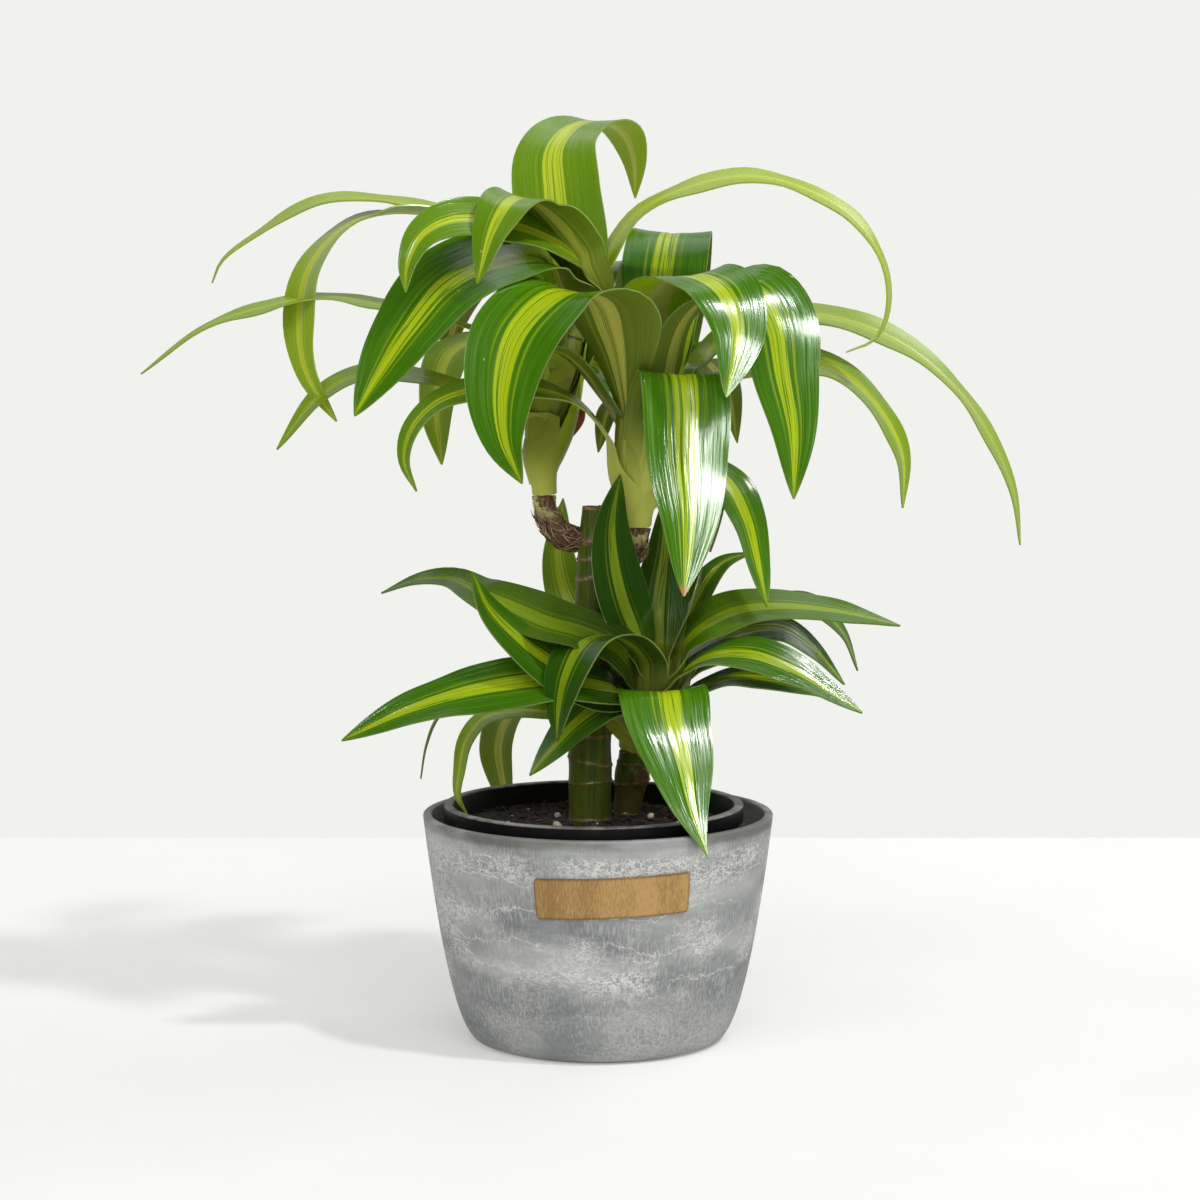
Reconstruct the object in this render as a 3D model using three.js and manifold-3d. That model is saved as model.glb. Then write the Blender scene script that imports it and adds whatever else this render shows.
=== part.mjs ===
// A potted dracaena: a leafy plant with a tall and a short cane, in a plastic nursery pot
// that stands in a stone-look planter with a bare brass plate. Millimetres, +Z up,
// the origin under the middle of the planter, -Y towards the viewer.
import * as THREE from "three";
import { mergeVertices } from "three/addons/utils/BufferGeometryUtils.js";
import Module from "manifold-3d";

const wasm = await Module();
wasm.setup();

const gap = 0.3; // left between touching pieces
const potSides = 48;

// Planter: radius grows from the foot to the rim by a power of the height.
const planterHeight = 115;
const planterFootRadius = 61;
const planterRimRadius = 89;
const planterBulge = 0.5;
const planterWall = 4.8;
const planterFloor = 6;

// Nursery pot, a little left of the planter's middle.
const potLeft = -2.2;
const potTop = 119.5;
const potRimRadius = 76;
const potRimHeight = 9;
const potWallRadius = 73.2;
const potFootRadius = 50;
const potWall = 1.9;

const soilTop = 108.5;
const soilMound = 3;

// Brass plate on the front of the planter.
const plateWidth = 76;
const plateHeight = 20;
const plateThickness = 1.2;
const plateCorner = 1.6;
const plateMiddle = 87;
const plateTurn = 5;
const plateTilt = 1.7;

const bladeThickness = 0.8;
const bladeFootWidth = 10; // where it leaves the stem
const bladeFootShare = 0.16; // of the length, until it has its full form
const bladeCells = 2;
const datum = 2.5; // the points of the canes and leaves are measured from this height

const material = (color, roughness, metalness = 0) =>
  new THREE.MeshStandardMaterial({ color, roughness, metalness });
const stone = material(0x85898c, 0.6);
const blackPlastic = material(0x17181a, 0.45);
const earth = material(0x35261b, 0.95);
const brass = material(0xb08a4a, 0.4, 1);
const caneGreen = material(0x66742f, 0.5);
const bark = material(0x6b4a33, 0.9);
const leafGreen = material(0x4f8a1c, 0.35);

// Closed geometry to a solid, and back to a named mesh.
function solidOf(geometry) {
  const bare = geometry.clone();
  bare.deleteAttribute("normal");
  bare.deleteAttribute("uv");
  const merged = mergeVertices(bare, 1e-3);
  return new wasm.Manifold(
    new wasm.Mesh({
      numProp: 3,
      vertProperties: new Float32Array(merged.attributes.position.array),
      triVerts: new Uint32Array(merged.index.array),
    }),
  );
}

// The largest body without its sealed hollows, as a named mesh.
function meshOf(solid, name, look) {
  const bodies = solid.decompose();
  const body = bodies.reduce((a, b) => (b.volume() > a.volume() ? b : a));
  const made = body.getMesh();
  const geometry = new THREE.BufferGeometry();
  geometry.setAttribute("position", new THREE.BufferAttribute(made.vertProperties, 3));
  geometry.setIndex(new THREE.BufferAttribute(made.triVerts, 1));
  const mesh = new THREE.Mesh(geometry, look);
  mesh.name = name;
  return mesh;
}

// A turned piece from [radius, z] points, its axis upright at (x, y).
function turned(profile, sides, x = 0, y = 0) {
  const outline = profile.map(([r, z]) => new THREE.Vector2(r, z));
  const geometry = new THREE.LatheGeometry(outline, sides);
  return geometry.rotateX(Math.PI / 2).translate(x, y, 0);
}

const curveThrough = (points) =>
  new THREE.CatmullRomCurve3(points.map(([x, y, z]) => new THREE.Vector3(x, y, z + datum)));

// A turned bar bent along a curve: radii are [share of the length, radius].
function bentBar(points, radii, sides) {
  const curve = curveThrough(points);
  const outline = [
    new THREE.Vector2(0, 0),
    ...radii.map(([t, r]) => new THREE.Vector2(r, t)),
    new THREE.Vector2(0, 1),
  ];
  const geometry = new THREE.LatheGeometry(outline, sides);
  const place = geometry.attributes.position;
  const side = new THREE.Vector3();
  const front = new THREE.Vector3();
  for (let i = 0; i < place.count; i++) {
    const along = curve.getPointAt(place.getY(i));
    const tangent = curve.getTangentAt(place.getY(i));
    side.set(0, 1, 0).cross(tangent).normalize();
    front.copy(side).cross(tangent);
    along.addScaledVector(side, place.getX(i)).addScaledVector(front, place.getZ(i));
    place.setXYZ(i, along.x, along.y, along.z);
  }
  return geometry;
}

const ease = (t) => t * t * (3 - 2 * t);

// The blade's width as a share of its widest, from the base (0) to the tip (1).
function bladeWidth(t, widest, base, neck, point) {
  if (t > widest) return (1 - ((t - widest) / (1 - widest)) ** 2) ** point;
  return base + (1 - base) * ease(t / widest) ** neck;
}

// How far the blade is bent up into a gutter, half its arc in radians.
const bladeGutter = (t) => 0.2 + 0.7 * Math.max(0, 1 - t / 0.3) ** 2;

const between = (values, t) => {
  const place = t * (values.length - 1);
  const low = Math.min(Math.floor(place), values.length - 2);
  return values[low] + (values[low + 1] - values[low]) * (place - low);
};

// One leaf: a thin blade along a curve, its side level unless it is rolled.
function blade({ at, wide, roll = [0, 0], widest = 0.38, base = 0.7, neck = 1, point = 0.85 }) {
  const curve = curveThrough(at);
  const first = at[0];
  const last = at[at.length - 1];
  const level = new THREE.Vector3(first[1] - last[1], last[0] - first[0], 0).normalize();
  const steps = Math.min(at.length + 1, 10);
  const corners = [];
  for (const face of [1, -1])
    for (let i = 0; i <= steps; i++) {
      const t = i / steps;
      const tangent = curve.getTangentAt(t);
      const side = level.clone().addScaledVector(tangent, -level.dot(tangent)).normalize();
      side.applyAxisAngle(tangent, THREE.MathUtils.degToRad(between(roll, t)));
      const up = tangent.clone().cross(side);
      const opened = ease(Math.min(t / bladeFootShare, 1));
      const open = (wide / 2) * bladeWidth(t, widest, base, neck, point);
      const half = Math.max(bladeFootWidth / 2 + (open - bladeFootWidth / 2) * opened, 0.5);
      const arc = bladeGutter(t);
      for (let j = 0; j <= bladeCells; j++) {
        const turn = arc * ((2 * j) / bladeCells - 1);
        const out = (half * Math.sin(turn)) / arc;
        const lift = (half * (0.6 * Math.cos(arc) + 0.4 - Math.cos(turn))) / arc;
        const spot = curve.getPointAt(t).addScaledVector(side, out).addScaledVector(up, lift);
        spot.addScaledVector(up, (face * bladeThickness * Math.cos(turn)) / 2);
        spot.addScaledVector(side, (-face * bladeThickness * Math.sin(turn)) / 2);
        corners.push(spot.x, spot.y, spot.z);
      }
    }
  const row = bladeCells + 1;
  const under = row * (steps + 1);
  const faces = [];
  const quad = (a, b, c, d) => faces.push(a, b, c, a, c, d);
  for (let i = 0; i < steps; i++) {
    for (let j = 0; j < bladeCells; j++) {
      const a = i * row + j;
      faces.push(a, a + row, a + row + 1, a, a + row + 1, a + 1);
      const b = a + under;
      faces.push(b, b + row + 1, b + row, b, b + 1, b + row + 1);
    }
    const left = i * row;
    const right = left + bladeCells;
    quad(left, left + under, left + row + under, left + row);
    quad(right, right + row, right + row + under, right + under);
  }
  for (let j = 0; j < bladeCells; j++) {
    const end = steps * row + j;
    quad(j, j + 1, j + 1 + under, j + under);
    quad(end, end + under, end + 1 + under, end + 1);
  }
  const geometry = new THREE.BufferGeometry();
  geometry.setAttribute("position", new THREE.Float32BufferAttribute(corners, 3));
  geometry.setIndex(faces);
  return geometry;
}

// A leafy shoot: its stem with every leaf fused to it.
function shoot(stem, leaves) {
  return leaves.reduce((solid, leaf) => solid.add(solidOf(blade(leaf))), solidOf(stem));
}

// The leaves, each with the points its middle line runs through, from the stem to the tip.
const leftLeaves = [
  { at: [[-26, 3, 330], [-28, 9, 370], [-46, 16, 399], [-80, 25, 416], [-114, 30, 423],
    [-145, 32, 421], [-174, 32, 405], [-192, 30, 391], [-197, 30, 380]], wide: 27,
    roll: [-15, -9, -10, -20, -26] },
  { at: [[-25, 4, 322], [-27, 8, 362], [-44, 12, 396], [-73, 15, 412], [-104, 17, 416],
    [-127, 17, 409], [-146, 15, 387], [-151, 12, 359], [-147, 10, 334], [-132, 8, 310]],
    wide: 40, roll: [-5, 10, 4, -40, -60] },
  { at: [[-15, 0, 338], [-39, 5, 348], [-75, 12, 361], [-111, 15, 369], [-140, 15, 373],
    [-170, 12, 367], [-197, 8, 358], [-230, 5, 334]], wide: 28, roll: [0, -5, -14, -18] },
  { at: [[-20, 0, 311], [-44, 8, 319], [-70, 12, 328], [-97, 12, 334], [-121, 12, 334],
    [-141, 8, 323], [-162, 5, 296]], wide: 27, roll: [0, -4, -28, -40] },
  { at: [[-4, -4, 374], [-24, -15, 391], [-50, -25, 391], [-74, -32, 380], [-94, -35, 356],
    [-108, -36, 334], [-119, -38, 314]], wide: 57, roll: [0, -25, -38, -40] },
  { at: [[0, -4, 377], [-17, -10, 405], [-30, -20, 418], [-38, -32, 421], [-45, -44, 416],
    [-52, -51, 402], [-58, -53, 378]], wide: 38, roll: [25, 15, -8, -15, -10], widest: 0.4 },
  { at: [[2, -3, 374], [-9, -10, 392], [-27, -18, 403], [-49, -27, 409], [-70, -38, 410],
    [-85, -45, 402], [-92, -48, 388], [-93, -48, 374]], wide: 35, roll: [-25, -42, -38],
    widest: 0.25 },
  { at: [[-22, 5, 322], [-15, 12, 375], [-21, 28, 425], [-22, 46, 449], [-13, 62, 462],
    [1, 78, 466], [13, 92, 461], [19, 103, 447], [20, 110, 427]], wide: 48,
    roll: [0, 0, 0, 15] },
  { at: [[-25, 1, 298], [-14, 2, 328], [-3, 4, 364], [6, 5, 394], [21, 5, 415], [46, 0, 427],
    [74, -5, 432], [99, -8, 427], [127, -10, 411], [142, -12, 387], [144, -12, 367],
    [138, -12, 352], [123, -14, 345]], wide: 23, roll: [15, 22, 22, 10] },
  { at: [[-16, 5, 346], [-38, 25, 352], [-61, 42, 353], [-77, 52, 344], [-84, 58, 319],
    [-82, 60, 286]], wide: 40 },
  { at: [[-10, 6, 370], [-35, 40, 392], [-60, 75, 388], [-78, 98, 358], [-81, 104, 336]],
    wide: 34 },
  { at: [[-6, 6, 370], [-4, 42, 390], [0, 82, 388], [4, 112, 362], [5, 122, 338]], wide: 36 },
  { at: [[-23, 3, 318], [-15, 10, 321], [-10, 12, 314], [-13, 11, 306], [-18, 10, 299]],
    wide: 8, widest: 0.6 },
];

const rightLeaves = [
  { at: [[18, -10, 282], [14, -22, 321], [9, -38, 354], [1, -52, 372], [-18, -62, 374],
    [-38, -70, 356], [-46, -74, 330], [-45, -77, 304], [-36, -80, 283]], wide: 60,
    roll: [0, 0, -10, -12], widest: 0.42, base: 0.15, neck: 2.2 },
  { at: [[17, -9, 276], [2, -20, 308], [-13, -28, 322], [-33, -34, 328], [-57, -36, 328],
    [-79, -36, 321], [-92, -36, 307], [-95, -36, 292], [-89, -36, 277]], wide: 24,
    roll: [0, -28, -33], widest: 0.35 },
  { at: [[24, -10, 286], [30, -19, 313], [37, -30, 331], [41, -40, 335], [43, -48, 320],
    [43, -57, 295], [44, -66, 266], [41, -76, 229]], wide: 45, widest: 0.42 },
  { at: [[25, -8, 306], [27, -14, 344], [31, -26, 373], [44, -42, 383], [60, -58, 376],
    [67, -68, 356], [61, -76, 324]], wide: 47, roll: [0, 0, 10, 20], widest: 0.4 },
  { at: [[26, -8, 296], [32, -16, 329], [41, -24, 360], [56, -32, 375], [75, -40, 377],
    [87, -46, 360], [91, -49, 334], [95, -51, 308], [95, -52, 274]], wide: 46,
    roll: [0, 10, 45, 60] },
  { at: [[28, -5, 318], [31, 10, 358], [34, 32, 390], [38, 58, 407], [42, 88, 400],
    [46, 112, 367], [48, 120, 329]], wide: 44, roll: [0, 6] },
  { at: [[27, -6, 304], [46, 6, 335], [67, 16, 354], [92, 24, 362], [113, 28, 364],
    [140, 30, 357], [164, 30, 344], [188, 26, 321], [203, 22, 296], [212, 18, 272],
    [215, 15, 247]], wide: 35, roll: [0, 20, 24, 32] },
  { at: [[27, -6, 300], [51, 0, 325], [79, 6, 337], [108, 10, 340], [127, 8, 332],
    [143, 4, 315], [153, 0, 293], [153, -4, 267]], wide: 38, roll: [0, 20, 32] },
  { at: [[22, -8, 272], [38, 0, 284], [53, 4, 287], [66, 0, 279], [75, -6, 262],
    [80, -14, 240], [84, -22, 219]], wide: 28, roll: [0, 30, 40] },
  { at: [[26, -5, 296], [44, 18, 308], [55, 30, 295], [59, 34, 269], [58, 34, 242]],
    wide: 22 },
  { at: [[21, -8, 286], [13, -9, 306], [3, -15, 323], [-7, -22, 337], [-19, -28, 346],
    [-36, -32, 346], [-49, -33, 334]], wide: 22 },
  { at: [[22, -6, 300], [12, 10, 320], [5, 20, 315], [0, 24, 294]], wide: 16 },
  { at: [[28, -4, 314], [42, 30, 338], [58, 66, 340], [70, 92, 322], [75, 102, 296]], wide: 26,
    widest: 0.35 },
  { at: [[28, -4, 318], [54, 34, 347], [82, 62, 347], [98, 82, 315], [102, 88, 282]],
    wide: 26 },
  { at: [[22, -5, 308], [6, 28, 333], [-18, 60, 343], [-42, 82, 322], [-50, 90, 300]],
    wide: 30 },
];

const lowerLeaves = [
  { at: [[27, -8, 177], [10, -28, 200], [-8, -34, 209], [-24, -29, 213], [-42, -12, 219],
    [-60, 5, 225], [-75, 20, 230], [-93, 20, 229], [-111, 20, 222]], wide: 30,
    roll: [-30, -40, -22] },
  { at: [[28, -6, 174], [1, -26, 178], [-19, -33, 189], [-38, -37, 203], [-54, -40, 220],
    [-62, -42, 238]], wide: 30, roll: [-20, -60, -60] },
  { at: [[27, -8, 173], [4, -30, 180], [-20, -35, 184], [-46, -40, 182], [-72, -42, 177],
    [-97, -44, 169], [-126, -45, 155]], wide: 34, roll: [-20, -40, -40] },
  { at: [[28, -6, 175], [22, -18, 194], [9, -32, 206], [-6, -45, 204], [-15, -51, 190],
    [-19, -53, 174], [-20, -54, 156]], wide: 36, widest: 0.42 },
  { at: [[29, -3, 180], [22, -13, 199], [13, -20, 222], [8, -24, 243], [7, -26, 262],
    [11, -27, 285]], wide: 27, roll: [-60, -110, -130, -130] },
  { at: [[31, 0, 180], [31, 2, 200], [32, 6, 220], [35, 10, 245], [34, 14, 271]], wide: 28 },
  { at: [[32, 3, 179], [38, 4, 197], [47, 2, 218], [51, 2, 231], [53, 2, 242]], wide: 16 },
  { at: [[33, 5, 179], [42, 14, 203], [52, 22, 223], [64, 28, 237], [79, 32, 242]], wide: 18,
    roll: [0, 30, 30] },
  { at: [[32, -2, 177], [45, -4, 201], [67, -4, 215], [92, -2, 218], [120, 0, 215],
    [153, 2, 207]], wide: 32, roll: [0, 30, 26, 22] },
  { at: [[33, 5, 178], [57, 18, 198], [83, 26, 212], [110, 30, 215], [126, 30, 201],
    [134, 28, 181]], wide: 28, roll: [0, 25, 30] },
  { at: [[33, 0, 176], [52, 4, 192], [72, 6, 203], [93, 6, 205], [109, 4, 195], [125, 2, 177]],
    wide: 24, roll: [0, 30, 30] },
  { at: [[30, -6, 174], [43, -16, 187], [57, -22, 195], [76, -26, 196], [96, -28, 189],
    [114, -30, 178], [131, -32, 167]], wide: 26, roll: [0, 35, 35] },
  { at: [[31, -2, 170], [48, -6, 175], [67, -8, 182], [89, -10, 181], [110, -10, 176],
    [125, -12, 168]], wide: 20, roll: [0, 30, 30] },
  { at: [[31, 6, 173], [58, 22, 186], [84, 30, 190], [108, 34, 184], [127, 36, 169]], wide: 18,
    roll: [0, 15, 15] },
  { at: [[29, -5, 170], [31, -22, 177], [32, -38, 178], [34, -52, 166], [40, -64, 146],
    [45, -73, 125], [53, -81, 103]], wide: 46, widest: 0.33, point: 1.3 },
  { at: [[27, -4, 170], [14, -21, 171], [0, -27, 169], [-12, -30, 161], [-23, -32, 149],
    [-34, -34, 136]], wide: 22, roll: [-10, -40, -40] },
  { at: [[24, -2, 167], [12, -15, 170], [6, -20, 166], [12, -20, 157], [21, -18, 147],
    [27, -16, 136]], wide: 11 },
  { at: [[27, 7, 168], [9, 15, 163], [-14, 16, 161], [-40, 8, 163], [-58, 0, 160],
    [-67, -6, 149], [-70, -8, 135], [-71, -8, 122], [-66, -10, 112]], wide: 17,
    roll: [-10, -20, -30], widest: 0.4 },
  { at: [[27, 8, 168], [1, 34, 165], [-28, 60, 163], [-48, 80, 153], [-55, 92, 133],
    [-52, 98, 110], [-47, 100, 86]], wide: 30 },
  { at: [[27, 8, 171], [-4, 22, 172], [-35, 32, 174], [-64, 40, 170], [-83, 44, 156],
    [-90, 46, 140], [-93, 46, 122]], wide: 20, roll: [-10, -10, -20] },
  { at: [[27, 8, 176], [6, 20, 193], [-13, 27, 215], [-20, 30, 238], [-18, 32, 270]], wide: 24,
    roll: [-60, -63, -63] },
  { at: [[30, 6, 176], [32, 38, 198], [36, 72, 194], [40, 98, 166], [42, 106, 136]],
    wide: 32 },
  { at: [[32, 6, 175], [58, 34, 192], [86, 60, 186], [104, 76, 170]], wide: 26 },
  { at: [[27, 8, 174], [0, 44, 193], [-25, 74, 188], [-44, 96, 161], [-48, 102, 150]],
    wide: 30 },
];

const planterRadius = (z) =>
  planterFootRadius +
  (planterRimRadius - planterFootRadius) * Math.pow(Math.max(z, 0) / planterHeight, planterBulge);

function planter() {
  const steps = 8;
  const heights = Array.from({ length: steps + 1 }, (_, i) => planterHeight * (i / steps) ** 1.6);
  const outside = heights.slice(0, -1).map((z) => [planterRadius(z), z]);
  const inside = heights
    .filter((z) => z > planterFloor)
    .map((z) => [planterRadius(z) - planterWall, z])
    .slice(0, -1)
    .reverse();
  const rim = [
    [planterRimRadius - 0.2, planterHeight - 0.9],
    [planterRimRadius - 1, planterHeight],
    [planterRimRadius - planterWall + 1, planterHeight],
    [planterRimRadius - planterWall + 0.2, planterHeight - 0.9],
  ];
  const floor = [[planterRadius(planterFloor) - planterWall, planterFloor], [0, planterFloor]];
  return turned([[0, 0], ...outside, ...rim, ...inside, ...floor], potSides);
}

const potRadius = (z) =>
  potFootRadius + ((potWallRadius - potFootRadius) * (z - planterFloor)) / (potTop - planterFloor);

function nurseryPot() {
  const foot = planterFloor + gap;
  const underRim = potTop - potRimHeight;
  return turned(
    [
      [0, foot],
      [potRadius(foot), foot],
      [potRadius(underRim), underRim],
      [potRimRadius, underRim + 1],
      [potRimRadius, potTop - 0.6],
      [potRimRadius - 0.6, potTop],
      [potRadius(potTop) - potWall + 0.4, potTop],
      [potRadius(potTop) - potWall, potTop - 0.4],
      [potRadius(foot + potWall) - potWall, foot + potWall],
      [0, foot + potWall],
    ],
    potSides,
    potLeft,
  );
}

// Uneven soil, with a plain hole round each cane.
function soil(holes) {
  const rings = [68, 58, 44, 30, 15];
  const foot = planterFloor + 2 * gap + potWall;
  const insideRadius = (z) => potRadius(z) - potWall - gap;
  const geometry = turned(
    [
      [0, foot],
      [insideRadius(foot), foot],
      [insideRadius(soilTop - 2), soilTop - 2],
      ...rings.map((r) => [r, soilTop]),
      [0, soilTop],
    ],
    potSides,
  );
  const place = geometry.attributes.position;
  for (let i = 0; i < place.count; i++) {
    const x = place.getX(i);
    const y = place.getY(i);
    const r = Math.hypot(x, y);
    if (place.getZ(i) < soilTop - 1) continue;
    const bumps = Math.sin(x * 0.31 + 1) * Math.sin(y * 0.27) + 0.6 * Math.sin(x * 0.62 - y * 0.55);
    const edge = Math.min(1, (insideRadius(soilTop) - r) / 12);
    place.setZ(i, soilTop + soilMound * (1 - (r / 70) ** 2) + 1.1 * edge * bumps);
  }
  geometry.translate(potLeft, 0, 0);
  return holes.reduce((solid, hole) => solid.subtract(solidOf(hole)), solidOf(geometry));
}

// The plate: a thin rounded rectangle laid round the planter's wall.
function brassPlate() {
  const columns = 28;
  const inset = plateCorner * 0.9;
  const rows = [
    [-plateHeight / 2, inset],
    [-plateHeight / 2 + plateCorner * 0.35, inset * 0.35],
    [-plateHeight / 2 + plateCorner, 0],
    [0, 0],
    [plateHeight / 2 - plateCorner, 0],
    [plateHeight / 2 - plateCorner * 0.35, inset * 0.35],
    [plateHeight / 2, inset],
  ];
  const geometry = new THREE.BoxGeometry(1, 1, 1, columns, rows.length - 1, 1);
  const place = geometry.attributes.position;
  const tilt = THREE.MathUtils.degToRad(plateTilt);
  for (let i = 0; i < place.count; i++) {
    const [high, cut] = rows[Math.round((place.getY(i) + 0.5) * (rows.length - 1))];
    const across = place.getX(i) * (plateWidth - 2 * cut);
    const z = plateMiddle + high * Math.cos(tilt) + across * Math.sin(tilt);
    const around = across * Math.cos(tilt) - high * Math.sin(tilt);
    const radius = planterRadius(z) + gap + (place.getZ(i) > 0 ? plateThickness : 0.15);
    const turn = THREE.MathUtils.degToRad(plateTurn) + around / planterRadius(plateMiddle);
    place.setXYZ(i, radius * Math.sin(turn), -radius * Math.cos(turn), z);
  }
  return geometry;
}

// Canes, as [x, y, z] points of their middle line, with their ring scars.
const tallCanePath = [[-4, -5, 38], [-4, -5, 110], [-4, -5, 175], [-3, -5, 222], [-2, -5, 268]];
const shortCanePath = [[13, 12, 42], [14, 12, 105], [17, 12, 126], [18, 12, 136], [18, 12, 142]];
const caneRadii = (body, scars) =>
  scars
    .flatMap((t) => [[t - 0.012, body(t)], [t, body(t) + 0.6], [t + 0.012, body(t)]])
    .concat([[0, body(0) - 0.8], [0.004, body(0)], [0.997, body(1)], [1, body(1) - 0.5]])
    .sort((a, b) => a[0] - b[0]);
const tallRadius = (t) => 10.9 - 4.6 * Math.max(0, (t - 0.58) / 0.42) ** 1.2;
const shortRadius = (t) => 7.6 + 2 * Math.exp(-(((t - 0.88) / 0.07) ** 2)) - 0.4 * t;

const tallCane = (grown = 0) =>
  bentBar(
    tallCanePath,
    caneRadii((t) => tallRadius(t) + grown, [0.4, 0.455, 0.5, 0.585, 0.86, 0.95]),
    20,
  );
const shortCane = (grown = 0) =>
  bentBar(shortCanePath, caneRadii((t) => shortRadius(t) + grown, [0.5, 0.72, 0.9]), 18);

// Brown collars where the two upper shoots grew out of the tall cane.
const leftCollarPath = [[-3, -5, 250], [-19, -4, 254], [-25.5, -1, 263], [-27, 0, 268], [-27.2, 0, 273]];
const rightCollarPath = [[-1, -5, 233], [12, -7, 240], [19, -8, 248], [20, -8, 253], [20, -8, 257]];
const collarRadii = [[0, 5.4], [0.2, 6], [0.4, 6.4], [0.5, 5.8], [0.7, 6.3], [0.85, 5.9], [1, 6.1]];
const collar = (path) =>
  solidOf(bentBar(path, collarRadii, 16)).subtract(solidOf(tallCane(gap)));

const leftStemPath = [
  [-27.2, 0, 273.6], [-27.4, 0, 278], [-29, 0, 296], [-23, 0, 321], [-13, 0, 351], [-4, 3, 386],
];
const leftStemRadii = [[0, 5.8], [0.15, 7.4], [0.3, 9.2], [0.6, 9], [0.85, 6.5], [1, 3]];
const rightStemPath = [
  [20, -8, 257.6], [20, -8, 262], [20, -8, 278], [24, -8, 296], [28, -6, 318], [30, -5, 335],
];
const rightStemRadii = [[0, 6], [0.25, 6.8], [0.5, 8.4], [0.8, 6.5], [1, 3]];
const lowerStemPath = [
  [18, 12, 142.6], [18, 12, 147], [20, 10, 156], [25, 6, 166], [30, 2, 178], [31, 2, 190],
];
const lowerStemRadii = [[0, 6.6], [0.3, 7], [0.6, 8], [0.85, 6], [1, 3]];

const plant = new THREE.Group();
plant.add(
  meshOf(solidOf(planter()), "planter", stone),
  meshOf(solidOf(nurseryPot()), "nursery_pot", blackPlastic),
  meshOf(soil([tallCane(gap), shortCane(gap)]), "soil", earth),
  meshOf(solidOf(brassPlate()), "brass_plate", brass),
  meshOf(solidOf(tallCane()), "tall_cane", caneGreen),
  meshOf(solidOf(shortCane()), "short_cane", caneGreen),
  meshOf(collar(leftCollarPath), "left_collar", bark),
  meshOf(collar(rightCollarPath), "right_collar", bark),
  meshOf(shoot(bentBar(leftStemPath, leftStemRadii, 14), leftLeaves), "left_shoot", leafGreen),
  meshOf(shoot(bentBar(rightStemPath, rightStemRadii, 14), rightLeaves), "right_shoot", leafGreen),
  meshOf(shoot(bentBar(lowerStemPath, lowerStemRadii, 14), lowerLeaves), "lower_shoot", leafGreen),
);

export default plant;
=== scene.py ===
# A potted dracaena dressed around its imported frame. Sizes and places are in millimetres.
import math
import random
from functools import reduce

import bpy
import numpy as np
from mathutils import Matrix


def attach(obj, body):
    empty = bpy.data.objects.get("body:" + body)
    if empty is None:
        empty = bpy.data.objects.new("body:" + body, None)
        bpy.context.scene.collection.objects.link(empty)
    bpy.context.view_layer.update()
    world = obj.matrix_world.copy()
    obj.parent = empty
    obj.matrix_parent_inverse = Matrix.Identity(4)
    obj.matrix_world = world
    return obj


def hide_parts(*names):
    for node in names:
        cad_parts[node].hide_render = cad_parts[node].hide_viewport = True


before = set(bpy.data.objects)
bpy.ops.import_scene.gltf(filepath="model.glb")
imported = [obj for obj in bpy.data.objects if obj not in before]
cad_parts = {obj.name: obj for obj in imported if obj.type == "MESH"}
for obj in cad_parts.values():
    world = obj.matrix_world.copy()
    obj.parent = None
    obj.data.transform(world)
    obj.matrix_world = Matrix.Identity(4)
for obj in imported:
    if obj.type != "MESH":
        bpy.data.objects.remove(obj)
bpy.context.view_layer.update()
mm = 0.001
datum = 2.5  # points of the canes and leaves are measured from this height
gap = 0.3
print("frame loaded")


def clearSelection():
    if bpy.context.object and bpy.context.object.mode != "OBJECT":
        bpy.ops.object.mode_set(mode="OBJECT")
    bpy.ops.object.select_all(action="DESELECT")


def pickOnly(piece):
    clearSelection()
    piece.select_set(True)
    bpy.context.view_layer.objects.active = piece


def applyModifier(piece, kind, **settings):
    modifier = piece.modifiers.new(kind.title(), kind)
    for key, value in settings.items():
        setattr(modifier, key, value)
    pickOnly(piece)
    bpy.ops.object.modifier_apply(modifier=modifier.name)


def smoothPiece(piece, angle=40):
    pickOnly(piece)
    bpy.ops.object.shade_smooth_by_angle(angle=math.radians(angle))


def joinPieces(pieces, name):
    clearSelection()
    for piece in pieces:
        piece.select_set(True)
    bpy.context.view_layer.objects.active = pieces[0]
    if len(pieces) > 1:
        bpy.ops.object.join()
    joined = bpy.context.view_layer.objects.active
    joined.name = joined.data.name = name
    return joined


def copyPiece(piece):
    twin = piece.copy()
    twin.data = piece.data.copy()
    bpy.context.collection.objects.link(twin)
    return twin


def getPoints(piece):
    spots = np.zeros(len(piece.data.vertices) * 3)
    piece.data.vertices.foreach_get("co", spots)
    return spots.reshape(-1, 3)


def setPoints(piece, spots):  # spots in millimetres
    piece.data.vertices.foreach_set("co", np.asarray(spots * mm, float).ravel())
    piece.data.update()


def setValue(piece, name, values):  # one number at each point, which a material reads
    layer = piece.data.attributes.new(name, "FLOAT", "POINT")
    layer.data.foreach_set("value", np.broadcast_to(values, len(piece.data.vertices)).astype(np.float32))


def gridPiece(cells, rows):  # a grid with its place across and along, each 0 to 1
    clearSelection()
    bpy.ops.mesh.primitive_grid_add(x_subdivisions=cells, y_subdivisions=rows, size=2)
    piece = bpy.context.object
    share = (getPoints(piece) + 1) / 2
    return piece, share[:, 0], share[:, 1]


def mergeDoubles(piece, outwards):
    pickOnly(piece)
    bpy.ops.object.mode_set(mode="EDIT")
    bpy.ops.mesh.select_all(action="SELECT")
    bpy.ops.mesh.remove_doubles(threshold=0.002 * mm)
    if outwards:
        bpy.ops.mesh.normals_make_consistent(inside=False)
    bpy.ops.object.mode_set(mode="OBJECT")


def closeRound(piece):  # the grid's seam and poles are merged, and its faces turned outwards
    mergeDoubles(piece, True)


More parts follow.
